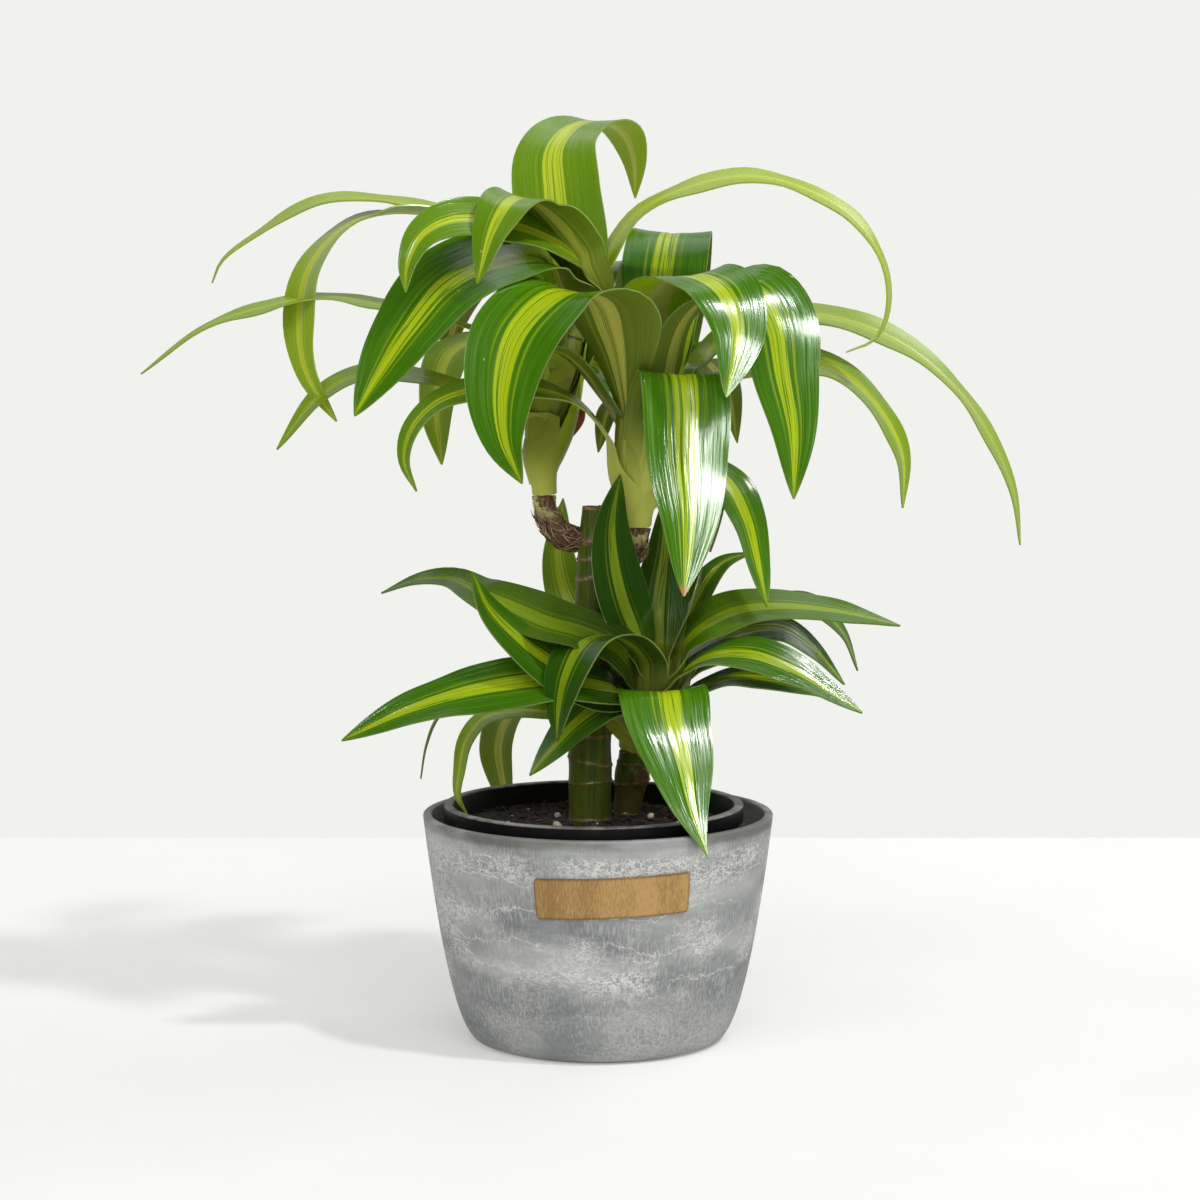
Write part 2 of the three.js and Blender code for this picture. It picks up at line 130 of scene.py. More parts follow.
def turnedPiece(name, profile, sides, shape=None, left=0):  # profile: radius and height, pole to pole
    profile = np.array(profile, float)
    piece, around, along = gridPiece(sides, len(profile) - 1)
    radius, height = profile[np.rint(along * (len(profile) - 1)).astype(int)].T
    angle = 2 * np.pi * around
    spots = np.stack([left + radius * np.sin(angle), -radius * np.cos(angle), height], 1)
    setPoints(piece, shape(spots, radius) if shape else spots)
    closeRound(piece)
    piece.name = piece.data.name = name
    return piece


def giveLooks(piece, *looks):
    piece.data.materials.clear()
    for look in looks:
        piece.data.materials.append(look)


def finishPiece(piece, slot, *nodes):
    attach(piece, "root")
    if nodes:
        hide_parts(*nodes)


def ease(t):
    t = np.clip(t, 0, 1)
    return t * t * (3 - 2 * t)


def walk(points, shares):  # places and directions along a smooth curve, at shares of its length
    knots = np.array(points, float) + [0, 0, datum]
    ends = np.vstack([2 * knots[0] - knots[1], knots, 2 * knots[-1] - knots[-2]])
    run = []
    for i in range(len(knots) - 1):
        a, b, c, d = ends[i : i + 4]
        ab, bc, cd = (max(np.linalg.norm(q - p), 1e-4) ** 0.5 for p, q in ((a, b), (b, c), (c, d)))
        leave = ((b - a) / ab - (c - a) / (ab + bc) + (c - b) / bc) * bc
        arrive = ((c - b) / bc - (d - b) / (bc + cd) + (d - c) / cd) * bc
        w = np.linspace(0, 1, 33)[:-1, None]
        run.append(
            b * (2 * w**3 - 3 * w**2 + 1) + leave * (w**3 - 2 * w**2 + w)
            + c * (3 * w**2 - 2 * w**3) + arrive * (w**3 - w**2)
        )
    run = np.vstack(run + [knots[-1:]])
    length = np.concatenate([[0], np.cumsum(np.linalg.norm(np.diff(run, axis=0), axis=1))])
    heading = np.gradient(run, length, axis=0)
    at = np.asarray(shares, float) * length[-1]
    places = np.stack([np.interp(at, length, run[:, k]) for k in range(3)], 1)
    ways = np.stack([np.interp(at, length, heading[:, k]) for k in range(3)], 1)
    return places, ways / np.linalg.norm(ways, axis=1, keepdims=True), length[-1]


def bendAlong(path, share, angle, radius):  # points round a curve; angle 0 faces the viewer
    places, ways, _ = walk(path, share)
    side = np.cross([0, 1, 0], ways)
    side /= np.linalg.norm(side, axis=1, keepdims=True)
    back = np.cross(ways, side)
    return places + side * (radius * np.sin(angle))[:, None] - back * (radius * np.cos(angle))[:, None]


def tubePiece(path, sides, rows, radiusAt):  # a closed tube along a curve; its end rows are its poles
    tube, around, along = gridPiece(sides, rows)
    share = np.clip((along * rows - 1) / (rows - 2), 0, 1)
    turn = 2 * np.pi * around
    radius = radiusAt(share, turn) * ((along > 0.5 / rows) & (along < 1 - 0.5 / rows))
    setPoints(tube, bendAlong(path, share, turn, radius))
    closeRound(tube)
    return tube


def lumps(spots, size, seed, waves=9):  # soft unevenness between about -1 and 1
    draw = np.random.default_rng(seed)
    total = np.zeros(len(spots))
    for _ in range(waves):
        way = draw.normal(size=3)
        way *= draw.uniform(0.6, 1.5) * 2 * np.pi / size / np.linalg.norm(way)
        total += np.sin(spots @ way + draw.uniform(0, 6.3))
    return total / math.sqrt(waves)


looksMade = []  # every look; the functions below add nodes to the one made last


def newLook(name, color, roughness, **sockets):
    look = bpy.data.materials.new(name)
    look.use_nodes = True
    looksMade.append(look)
    shader = look.node_tree.nodes["Principled BSDF"]
    shader.inputs["Base Color"].default_value = (*color, 1)
    shader.inputs["Roughness"].default_value = roughness
    for socket, value in sockets.items():
        shader.inputs[socket.replace("_", " ")].default_value = value
    return look


def addNode(kind, inputs=None, **settings):
    tree = looksMade[-1].node_tree
    node = tree.nodes.new("ShaderNode" + kind)
    for key, value in settings.items():
        setattr(node, key, value)
    for key, value in (inputs or {}).items():
        if isinstance(value, bpy.types.NodeSocket):
            tree.links.new(value, node.inputs[key])
        else:
            node.inputs[key].default_value = value
    return node


def feed(socket, source):
    tree = looksMade[-1].node_tree
    tree.links.new(source, tree.nodes["Principled BSDF"].inputs[socket])


def calc(operation, a, b=0.0, c=0.0):
    return addNode("Math", {0: a, 1: b, 2: c}, operation=operation).outputs[0]


def times(a, b):
    return calc("MULTIPLY", a, b)


def minus(a, b):
    return calc("SUBTRACT", a, b)


def most(a, b):
    return calc("MAXIMUM", a, b)


def distance(a, b):
    return calc("ABSOLUTE", minus(a, b))


def fade(value, low, high, start=0.0, end=1.0):  # eased from start to end while value goes low to high
    inputs = {"Value": value, "From Min": low, "From Max": high, "To Min": start, "To Max": end}
    return addNode("MapRange", inputs, interpolation_type="SMOOTHSTEP").outputs[0]


def ramp(value, stops):
    node = addNode("ValToRGB", {"Fac": value})
    elements = node.color_ramp.elements
    elements[0].position, elements[1].position = stops[0][0], stops[-1][0]
    elements[0].color, elements[1].color = (*stops[0][1], 1), (*stops[-1][1], 1)
    for spot, color in stops[1:-1]:
        elements.new(spot).color = (*color, 1)
    return node.outputs["Color"]


def blendColor(share, a, b):
    a, b = (c if isinstance(c, bpy.types.NodeSocket) else (*c, 1) for c in (a, b))
    return addNode("Mix", {"Factor": share, 6: a, 7: b}, data_type="RGBA").outputs[2]


def noise(vector, scale, detail=3.0, rough=0.55, distort=0.0):
    inputs = {"Vector": vector, "Scale": scale, "Detail": detail, "Roughness": rough}
    inputs["Distortion"] = distort
    return addNode("TexNoise", inputs).outputs["Fac"]


def objectPlace(scale=(1, 1, 1)):  # the object's own coordinates in metres, stretched by a scale
    spot = addNode("TexCoord").outputs["Object"]
    return addNode("Mapping", {"Vector": spot, "Scale": scale}).outputs["Vector"]


def pointValue(name):
    return addNode("Attribute", attribute_name=name).outputs["Fac"]


def bump(height, strength, depth, below=None):  # depth in millimetres
    inputs = {"Height": height, "Strength": strength, "Distance": depth * mm}
    if below:
        inputs["Normal"] = below
    return addNode("Bump", inputs).outputs["Normal"]


leafColors = {
    "margin": (0.044, 0.152, 0.001),
    "streak": (0.075, 0.215, 0.002),
    "lime": (0.400, 0.520, 0.006),
    # deepMargin and deepLime are painted shade: darker greens for leaves that lie in the crown's shade
    "deepMargin": (0.012, 0.050, 0.001),
    "deepLime": (0.150, 0.240, 0.004),
    # youngMargin and youngLime are partly the paler green of young growth and partly painted light, where
    # light shines through a leaf
    "youngMargin": (0.250, 0.390, 0.012),
    "youngLime": (0.600, 0.670, 0.060),
    "underMargin": (0.130, 0.190, 0.008),
    "underStreak": (0.165, 0.230, 0.012),
    "underLime": (0.490, 0.490, 0.080),
    "litUnder": (0.60, 0.80, 0.020),
    "litUnderLime": (0.85, 0.80, 0.25),
    "edge": (0.36, 0.44, 0.14),
    "sheath": (0.165, 0.195, 0.010),
    "sheathFoot": (0.20, 0.23, 0.020),
    # the pale sheath colour is partly a paleness near each stem's foot and partly painted light,
    # brightening stems that lie in the leaves' shade
    "paleAndLitSheath": (0.66, 0.68, 0.12),
    "dryTip": (0.42, 0.17, 0.035),
    "dryLeaf": (0.20, 0.055, 0.022),
    "wilted": (0.22, 0.22, 0.015),
    "scar": (0.55, 0.45, 0.22),
}


def stretched(start, across, along, seed):  # a place on a leaf, drawn out along it
    begin = calc("MULTIPLY_ADD", seed, start, across)
    return addNode("CombineXYZ", {0: begin, 1: along, 2: seed}).outputs[0]


def makeLeafLook(name, under):
    look = newLook(name, leafColors["margin"], 0.3, Specular_IOR_Level=0.3 if under else 0.8)
    parts = addNode("SeparateXYZ", {0: addNode("UVMap").outputs["UV"]})
    across = calc("MULTIPLY_ADD", parts.outputs[0], 2.0, -1.0)
    along = parts.outputs[1]
    seed, veins = pointValue("leafSeed"), pointValue("veins")
    lane = stretched(57.0, across, times(along, 0.12), seed)
    thin, fine = noise(lane, 9.0, 1.0), noise(lane, 34.0, 2.0)
    # the main band runs the whole length and drifts slowly to the sides
    drift = addNode("CombineXYZ", {0: times(seed, 91.0), 1: times(along, 1.1), 2: 0.5}).outputs[0]
    shift = times(minus(noise(drift, 1.0, 1.0), 0.5), 0.55)
    offMiddle = calc("ABSOLUTE", calc("ADD", across, shift))
    wide = times(pointValue("stripeWide"), fade(along, 0.1, 1.0, 1.1, 0.8))
    beyond = minus(offMiddle, wide)
    main = fade(beyond, -0.03, 0.02, 1.0, 0.0)
    beside = times(fade(distance(beyond, 0.13), 0.02, 0.06, 0.42, 0.0), fade(thin, 0.35, 0.6))
    line = times(fade(distance(thin, 0.5), 0.012, 0.04, 0.85, 0.0), veins)
    bands = times(most(main, beside), minus(1.0, line))
    # the bands melt into each other where a blade is narrow or seen edge on
    bands = calc("MULTIPLY_ADD", minus(bands, 0.35), calc("MULTIPLY_ADD", veins, 0.7, 0.3), 0.35)
    streaks = calc("MULTIPLY_ADD", minus(fade(fine, 0.42, 0.68), 0.4), veins, 0.4)
    if under:
        margin = blendColor(streaks, leafColors["underMargin"], leafColors["underStreak"])
        margin = blendColor(pointValue("lit"), margin, leafColors["litUnder"])
        lime = blendColor(pointValue("lit"), leafColors["underLime"], leafColors["litUnderLime"])
    else:
        margin = blendColor(streaks, leafColors["margin"], leafColors["streak"])
        lime = leafColors["lime"]
    # deep paints shade onto a leaf; young lightens it, partly as the paler green of young growth and partly
    # as painted light shining through it
    for kind in ("deep", "young"):
        margin = blendColor(pointValue(kind), margin, leafColors[kind + "Margin"])
        lime = blendColor(pointValue(kind), lime, leafColors[kind + "Lime"])
    color = blendColor(minus(bands, times(times(streaks, bands), 0.22)), margin, lime)
    sheath = blendColor(streaks, leafColors["sheathFoot"], leafColors["sheath"])
    # stems are painted paler here: partly a paleness near the foot, partly painted light
    sheath = blendColor(pointValue("paleAndLitStem"), sheath, leafColors["paleAndLitSheath"])
    color = blendColor(times(minus(1.0, pointValue("blade")), 0.92), color, sheath)
    for mark, share in (
        ("edge", times(fade(calc("ABSOLUTE", across), 0.985, 1.0, 0.0, 0.4), veins)),
        ("dryTip", times(pointValue("dryTip"), fade(along, 0.968, 0.992))),
        ("wilted", times(pointValue("wilted"), fade(along, 0.1, 0.6, 0.3, 0.85))),
        ("scar", fade(noise(objectPlace(), 170.0, 1.0), 0.80, 0.82, 0.0, 0.6)),
        ("dryLeaf", times(pointValue("dryLeaf"), fade(along, 0.3, 0.5))),
    ):
        color = blendColor(share, color, leafColors[mark])
    feed("Base Color", color)
    rough = fade(fine, 0.3, 0.7, 0.42, 0.58) if under else fade(fine, 0.35, 0.65, 0.13, 0.27)
    feed("Roughness", calc("MULTIPLY_ADD", minus(rough, 0.3), veins, 0.3))
    # long shallow dents break the shine into streaks
    ribs = bump(times(fine, veins), 0.5, 0.14)
    dents = times(noise(stretched(31.0, across, times(along, 0.8), seed), 7.0, 2.0, 0.5), veins)
    relief = bump(dents, 0.6, 0.5, ribs)
    feed("Normal", bump(noise(objectPlace(), 30.0, 1.0), 0.3, 0.8, relief))
    return look


leafTop = makeLeafLook("leafTop", False)
leafUnder = makeLeafLook("leafUnder", True)
stemLook = newLook("stemLook", leafColors["sheath"], 0.45)
stemLines = noise(objectPlace((1, 1, 0.05)), 700.0, 3.0)
stemColor = blendColor(fade(stemLines, 0.4, 0.65), leafColors["sheathFoot"], leafColors["sheath"])
# stems are painted paler here: partly a paleness near the foot, partly painted light
feed("Base Color", blendColor(pointValue("paleAndLitStem"), stemColor, leafColors["paleAndLitSheath"]))
feed("Normal", bump(stemLines, 0.3, 0.15))
print("leaf looks made")

# Each leaf: the points that its middle line runs through, from the stem to the tip, its widest
# width, and its roll in degrees along its length. The looks go from 0 to 1: young is lighter, partly
# the paler green of young growth and partly painted light shining through the leaf; deep is painted
# shade, darker where a leaf lies in the crown's shade; lit is painted light on an underside, as if
# light shone through it from behind; soft has fainter bands; and clears takes the painted shade away
# towards the tip. pale is how long the foot stays pale.
leftLeaves = [
    dict(at=[[-26, 3, 330], [-28, 9, 370], [-46, 16, 399], [-80, 25, 416], [-114, 30, 423], [-145, 32, 421],
         [-174, 32, 405], [-192, 30, 391], [-197, 30, 380]],
         wide=27, roll=[-15, -9, -10, -20, -26], young=0.7, soft=1),
    dict(at=[[-25, 4, 322], [-27, 8, 362], [-44, 12, 396], [-73, 15, 412], [-104, 17, 416], [-127, 17, 409],
         [-146, 15, 387], [-151, 12, 359], [-147, 10, 334], [-132, 8, 310]],
         wide=40, roll=[-5, 10, 4, -40, -60], young=0.8, soft=0.5),
    dict(at=[[-15, 0, 338], [-39, 5, 348], [-75, 12, 361], [-111, 15, 369], [-140, 15, 373],
         [-170, 12, 367], [-197, 8, 358], [-230, 5, 334]],
         wide=28, roll=[0, -5, -14, -18], young=0.4, soft=1),
    dict(at=[[-20, 0, 311], [-44, 8, 319], [-70, 12, 328], [-97, 12, 334], [-121, 12, 334],
         [-141, 8, 323], [-162, 5, 296]], wide=27, roll=[0, -4, -28, -40], young=0.3, soft=0.9),
    dict(at=[[-4, -4, 374], [-24, -15, 391], [-50, -25, 391], [-74, -32, 380], [-94, -35, 356],
         [-108, -36, 334], [-119, -38, 314]], wide=57, roll=[0, -25, -38, -40]),
    dict(at=[[0, -4, 377], [-17, -10, 405], [-30, -20, 418], [-38, -32, 421], [-45, -44, 416],
         [-52, -51, 402], [-58, -53, 378]], wide=38, roll=[25, 15, -8, -15, -10], widest=0.4, young=0.3),
    dict(at=[[2, -3, 374], [-9, -10, 392], [-27, -18, 403], [-49, -27, 409], [-70, -38, 410],
         [-85, -45, 402], [-92, -48, 388], [-93, -48, 374]],
         wide=35, roll=[-25, -42, -38], widest=0.25, young=0.3),
    dict(at=[[-22, 5, 322], [-15, 12, 375], [-21, 28, 425], [-22, 46, 449], [-13, 62, 462], [1, 78, 466],
         [13, 92, 461], [19, 103, 447], [20, 110, 427]], wide=48, roll=[0, 0, 0, 15], young=0.4, lit=0.7),
    dict(at=[[-25, 1, 298], [-14, 2, 328], [-3, 4, 364], [6, 5, 394], [21, 5, 415], [46, 0, 427],
         [74, -5, 432], [99, -8, 427], [127, -10, 411], [142, -12, 387], [144, -12, 367], [138, -12, 352],
         [123, -14, 345]], wide=23, roll=[15, 22, 22, 10], young=0.9, soft=1),
    dict(at=[[-16, 5, 346], [-38, 25, 352], [-61, 42, 353], [-77, 52, 344], [-84, 58, 319],
         [-82, 60, 286]], wide=40, young=1),
    dict(at=[[-10, 6, 370], [-35, 40, 392], [-60, 75, 388], [-78, 98, 358], [-81, 104, 336]], wide=34),
    dict(at=[[-6, 6, 370], [-4, 42, 390], [0, 82, 388], [4, 112, 362], [5, 122, 338]], wide=36),
    dict(at=[[-23, 3, 318], [-15, 10, 321], [-10, 12, 314], [-13, 11, 306], [-18, 10, 299]],
         wide=8, widest=0.6, dryLeaf=1),
]

rightLeaves = [
    dict(at=[[18, -10, 282], [14, -22, 321], [9, -38, 354], [1, -52, 372], [-18, -62, 374],
         [-38, -70, 356], [-46, -74, 330], [-45, -77, 304], [-36, -80, 283]],
         wide=60, roll=[0, 0, -10, -12], widest=0.42, base=0.15, neck=2.2),
    dict(at=[[17, -9, 276], [2, -20, 308], [-13, -28, 322], [-33, -34, 328], [-57, -36, 328],
         [-79, -36, 321], [-92, -36, 307], [-95, -36, 292], [-89, -36, 277]],
         wide=24, roll=[0, -28, -33], widest=0.35, young=0.3, pale=95),
    dict(at=[[24, -10, 286], [30, -19, 313], [37, -30, 331], [41, -40, 335], [43, -48, 320],
         [43, -57, 295], [44, -66, 266], [41, -76, 229]], wide=45, widest=0.42, dryTip=1),
    dict(at=[[25, -8, 306], [27, -14, 344], [31, -26, 373], [44, -42, 383], [60, -58, 376],
         [67, -68, 356], [61, -76, 324]], wide=47, roll=[0, 0, 10, 20], widest=0.4, lit=1),
    dict(at=[[26, -8, 296], [32, -16, 329], [41, -24, 360], [56, -32, 375], [75, -40, 377],
         [87, -46, 360], [91, -49, 334], [95, -51, 308], [95, -52, 274]],
         wide=46, roll=[0, 10, 45, 60]),
    dict(at=[[28, -5, 318], [31, 10, 358], [34, 32, 390], [38, 58, 407], [42, 88, 400],
         [46, 112, 367], [48, 120, 329]], wide=44, roll=[0, 6]),
    dict(at=[[27, -6, 304], [46, 6, 335], [67, 16, 354], [92, 24, 362], [113, 28, 364],
         [140, 30, 357], [164, 30, 344], [188, 26, 321], [203, 22, 296], [212, 18, 272], [215, 15, 247]],
         wide=35, roll=[0, 20, 24, 32], young=0.6, soft=0.9),
    dict(at=[[27, -6, 300], [51, 0, 325], [79, 6, 337], [108, 10, 340], [127, 8, 332],
         [143, 4, 315], [153, 0, 293], [153, -4, 267]], wide=38, roll=[0, 20, 32], young=0.6, soft=0.4),
    dict(at=[[22, -8, 272], [38, 0, 284], [53, 4, 287], [66, 0, 279], [75, -6, 262], [80, -14, 240],
         [84, -22, 219]], wide=28, roll=[0, 30, 40]),
    dict(at=[[26, -5, 296], [44, 18, 308], [55, 30, 295], [59, 34, 269], [58, 34, 242]], wide=22, dryTip=1),
    dict(at=[[21, -8, 286], [13, -9, 306], [3, -15, 323], [-7, -22, 337], [-19, -28, 346],
         [-36, -32, 346], [-49, -33, 334]], wide=22),
    dict(at=[[22, -6, 300], [12, 10, 320], [5, 20, 315], [0, 24, 294]], wide=16),
    dict(at=[[28, -4, 314], [42, 30, 338], [58, 66, 340], [70, 92, 322], [75, 102, 296]],
         wide=26, widest=0.35),
    dict(at=[[28, -4, 318], [54, 34, 347], [82, 62, 347], [98, 82, 315], [102, 88, 282]], wide=26),
    dict(at=[[22, -5, 308], [6, 28, 333], [-18, 60, 343], [-42, 82, 322], [-50, 90, 300]], wide=30),
]

lowerLeaves = [
    dict(at=[[27, -8, 177], [10, -28, 200], [-8, -34, 209], [-24, -29, 213], [-42, -12, 219],
         [-60, 5, 225], [-75, 20, 230], [-93, 20, 229], [-111, 20, 222]],
         wide=30, roll=[-30, -40, -22], deep=1.0, clears=0.5, soft=0.6),
    dict(at=[[28, -6, 174], [1, -26, 178], [-19, -33, 189], [-38, -37, 203], [-54, -40, 220],
         [-62, -42, 238]],
         wide=30, roll=[-20, -60, -60], deep=0.5),
    dict(at=[[27, -8, 173], [4, -30, 180], [-20, -35, 184], [-46, -40, 182], [-72, -42, 177],
         [-97, -44, 169], [-126, -45, 155]], wide=34, roll=[-20, -40, -40], deep=0.3),
    dict(at=[[28, -6, 175], [22, -18, 194], [9, -32, 206], [-6, -45, 204], [-15, -51, 190],
         [-19, -53, 174], [-20, -54, 156]], wide=36, widest=0.42, deep=0.8),
    dict(at=[[29, -3, 180], [22, -13, 199], [13, -20, 222], [8, -24, 243], [7, -26, 262],
         [11, -27, 285]], wide=27, roll=[-60, -110, -130, -130], deep=0.8),
    dict(at=[[31, 0, 180], [31, 2, 200], [32, 6, 220], [35, 10, 245], [34, 14, 271]], wide=28, deep=0.6),
    dict(at=[[32, 3, 179], [38, 4, 197], [47, 2, 218], [51, 2, 231], [53, 2, 242]], wide=16, deep=0.6),
    dict(at=[[33, 5, 179], [42, 14, 203], [52, 22, 223], [64, 28, 237], [79, 32, 242]],
         wide=18, roll=[0, 30, 30], deep=0.4),
    dict(at=[[32, -2, 177], [45, -4, 201], [67, -4, 215], [92, -2, 218], [120, 0, 215], [153, 2, 207]],
         wide=32, roll=[0, 30, 26, 22], deep=0.35, soft=0.5),
    dict(at=[[33, 5, 178], [57, 18, 198], [83, 26, 212], [110, 30, 215], [126, 30, 201], [134, 28, 181]],
         wide=28, roll=[0, 25, 30], deep=0.4),
    dict(at=[[33, 0, 176], [52, 4, 192], [72, 6, 203], [93, 6, 205], [109, 4, 195], [125, 2, 177]],
         wide=24, roll=[0, 30, 30], deep=0.4),
    dict(at=[[30, -6, 174], [43, -16, 187], [57, -22, 195], [76, -26, 196], [96, -28, 189],
         [114, -30, 178], [131, -32, 167]], wide=26, roll=[0, 35, 35], deep=0.3),
    dict(at=[[31, -2, 170], [48, -6, 175], [67, -8, 182], [89, -10, 181], [110, -10, 176],
         [125, -12, 168]], wide=20, roll=[0, 30, 30], deep=0.35),
    dict(at=[[31, 6, 173], [58, 22, 186], [84, 30, 190], [108, 34, 184], [127, 36, 169]],
         wide=18, roll=[0, 15, 15], deep=0.4),
    dict(at=[[29, -5, 170], [31, -22, 177], [32, -38, 178], [34, -52, 166], [40, -64, 146],
         [45, -73, 125], [53, -81, 103]], wide=46, widest=0.33, point=1.3),
    dict(at=[[27, -4, 170], [14, -21, 171], [0, -27, 169], [-12, -30, 161], [-23, -32, 149],
         [-34, -34, 136]], wide=22, roll=[-10, -40, -40], deep=0.45),
    dict(at=[[24, -2, 167], [12, -15, 170], [6, -20, 166], [12, -20, 157], [21, -18, 147],
         [27, -16, 136]], wide=11, wilted=1, dryTip=1),
    dict(at=[[27, 7, 168], [9, 15, 163], [-14, 16, 161], [-40, 8, 163], [-58, 0, 160], [-67, -6, 149],
         [-70, -8, 135], [-71, -8, 122], [-66, -10, 112]],
         wide=17, roll=[-10, -20, -30], widest=0.4, young=0.9),
    dict(at=[[27, 8, 168], [1, 34, 165], [-28, 60, 163], [-48, 80, 153], [-55, 92, 133],
         [-52, 98, 110], [-47, 100, 86]], wide=30, young=0.35),
    dict(at=[[27, 8, 171], [-4, 22, 172], [-35, 32, 174], [-64, 40, 170], [-83, 44, 156],
         [-90, 46, 140], [-93, 46, 122]], wide=20, roll=[-10, -10, -20], deep=0.3),
    dict(at=[[27, 8, 176], [6, 20, 193], [-13, 27, 215], [-20, 30, 238], [-18, 32, 270]],
         wide=24, roll=[-60, -63, -63], young=0.6),
    dict(at=[[30, 6, 176], [32, 38, 198], [36, 72, 194], [40, 98, 166], [42, 106, 136]], wide=32),
    dict(at=[[32, 6, 175], [58, 34, 192], [86, 60, 186], [104, 76, 170]], wide=26),
    dict(at=[[27, 8, 174], [0, 44, 193], [-25, 74, 188], [-44, 96, 161], [-48, 102, 150]], wide=30),
]

leafShape = {
    "rows": 64,
    "cells": 14,
    "thickness": 0.8,
    "foot": [16, 24],  # how far a leaf wraps down its stem
    "footSpread": 16,  # how much further the lowest leaf does than the highest
    "sheathTurn": 2.1,  # half the angle that a leaf's foot wraps round its stem
    "gutter": 0.15,  # half the angle of a blade's hollow
    "groove": 0.5,
    "wave": 0.9,
    "waveLength": [60, 105],
    "stripe": 0.27,  # half the pale band, as a share of half the blade
}

stemShape = {
    "left": {
        "path": [
            [-27.2, 0, 273.6], [-27.4, 0, 278], [-29, 0, 296], [-23, 0, 321], [-13, 0, 351],
            [-4, 3, 386]],
        "radii": [[0, 5.8], [0.1, 6.8], [0.3, 7.4], [0.6, 7], [0.85, 5], [1, 2.5]],
        "flare": 4.5,  # how much further out the outermost leaf foot stands than the innermost
        # pale: painted light over the whole stem, brightening it where it lies in the leaves' shade
        "pale": 0,
    },
    "right": {
        "path": [
            [20, -8, 257.6], [20, -8, 262], [20, -8, 278], [24, -8, 296], [28, -6, 318], [30, -5, 335]],
        "radii": [[0, 6], [0.2, 6.6], [0.5, 6.8], [0.8, 5], [1, 2.5]],
        "flare": 4,
        "pale": 0.8,
    },
    "lower": {
        "path": [
            [18, 12, 142.6], [18, 12, 147], [20, 10, 156], [25, 6, 166], [30, 2, 178], [31, 2, 190]],
        "radii": [[0, 6.6], [0.3, 6.8], [0.6, 7], [0.85, 5], [1, 2.5]],
        "flare": 3.5,
        "pale": 0.3,
    },
}


def bladeWidth(t, widest, base, neck, point):  # share of the widest width, from the base to the tip
    tip = np.clip((t - widest) / (1 - widest), 0, 1)
    return np.where(t > widest, (1 - tip**2) ** point, base + (1 - base) * ease(t / widest) ** neck)


def turnAbout(axis, vector, angle):
    c, s = np.cos(angle)[:, None], np.sin(angle)[:, None]
    return vector * c + np.cross(axis, vector) * s


def makeLeaf(
    number, stem, layer, at, wide, roll=(0, 0), widest=0.38, base=0.7, neck=1, point=0.85, **looks
):
    draw = random.Random(number)
    # the foot runs down along the stem before the blade leaves it; feet further out start lower
    stemSpots, _, stemLength = walk(stem["path"], np.linspace(0, 1, 101))
    near = np.argmin(np.linalg.norm(stemSpots - (np.array(at[0]) + [0, 0, datum]), axis=1)) / 100
    footLength = draw.uniform(*leafShape["foot"]) + leafShape["footSpread"] * layer
    footLength = min(footLength, near * stemLength - 0.5)
    foot = near - footLength / stemLength
    stemFoot = np.interp(foot, *np.array(stem["radii"]).T)
    below = [(stemSpots[round(k * 100)] - [0, 0, datum]).tolist() for k in (foot, (foot + near) / 2)]
    piece, across, t = gridPiece(leafShape["cells"], leafShape["rows"])
    v = 1 - 2 * across
    spots, ways, length = walk([*below, *at], t)
    footShare = footLength / length
    bladeShare = np.clip((t - footShare) / (1 - footShare), 0, 1)
    level = np.array([at[0][1] - at[-1][1], at[-1][0] - at[0][0], 0.0])
    level /= np.linalg.norm(level)
    side = level - ways * (ways @ level)[:, None]
    side /= np.linalg.norm(side, axis=1, keepdims=True)
    rolls = np.interp(bladeShare, np.linspace(0, 1, len(roll)), roll)
    side = turnAbout(ways, side, np.radians(rolls))
    up = np.cross(ways, side)
    opened = ease((t * length - footLength * 0.6) / (footLength * 0.4 + 0.16 * length))
    wrapRadius = stemFoot + 0.4 + stem["flare"] * layer * np.minimum(t * length / 34, 1)
    blade = wide / 2 * bladeWidth(bladeShare, widest, base, neck, point)
    wrap = np.minimum(wrapRadius * leafShape["sheathTurn"], wide * 0.75)
    half = np.maximum(wrap + (blade - wrap) * opened, 0.3)
    gutter = leafShape["gutter"] + 0.6 * np.maximum(0, 1 - bladeShare / 0.3) ** 2
    arc = wrap / wrapRadius + (gutter - wrap / wrapRadius) * opened
    turn = arc * v
    out = half / arc * np.sin(turn)
    lift = half / arc * ((0.6 * np.cos(arc) + 0.4) * opened - np.cos(turn))
    flat = ease(bladeShare / 0.35) * np.clip((1 - t) * 6, 0, 1)
    lift -= leafShape["groove"] * np.exp(-((v / 0.09) ** 2)) * flat
    waves, start = length / draw.uniform(*leafShape["waveLength"]), draw.uniform(0, 6.28)
    ripple = np.sin(6.283 * waves * t + start + 1.3 * np.sign(v))
    ripple += 0.25 * np.sin(6.283 * waves * 2.3 * t + 2 * start - np.sign(v))
    lift += leafShape["wave"] * np.abs(v) ** 2.2 * ripple * flat * np.minimum(half / 12, 1)
    setPoints(piece, spots + side * out[:, None] + up * lift[:, None])
    setValue(piece, "leafSeed", draw.random())
    setValue(piece, "stripeWide", leafShape["stripe"] * draw.uniform(0.85, 1.15))
    setValue(piece, "blade", ease((t * length - footLength + 8) / looks.get("pale", 40)))
    setValue(piece, "veins", (1 - looks.get("soft", 0)) * ease(half / 6))
    # deep is painted shade, strongest near the stem; clears lifts it towards the tip
    setValue(piece, "deep", looks.get("deep", 0) * (1 - looks.get("clears", 0) * ease((t - 0.35) / 0.3)))
    for name in ("young", "lit", "dryTip", "wilted", "dryLeaf"):
        setValue(piece, name, looks.get(name, 0))
    return piece


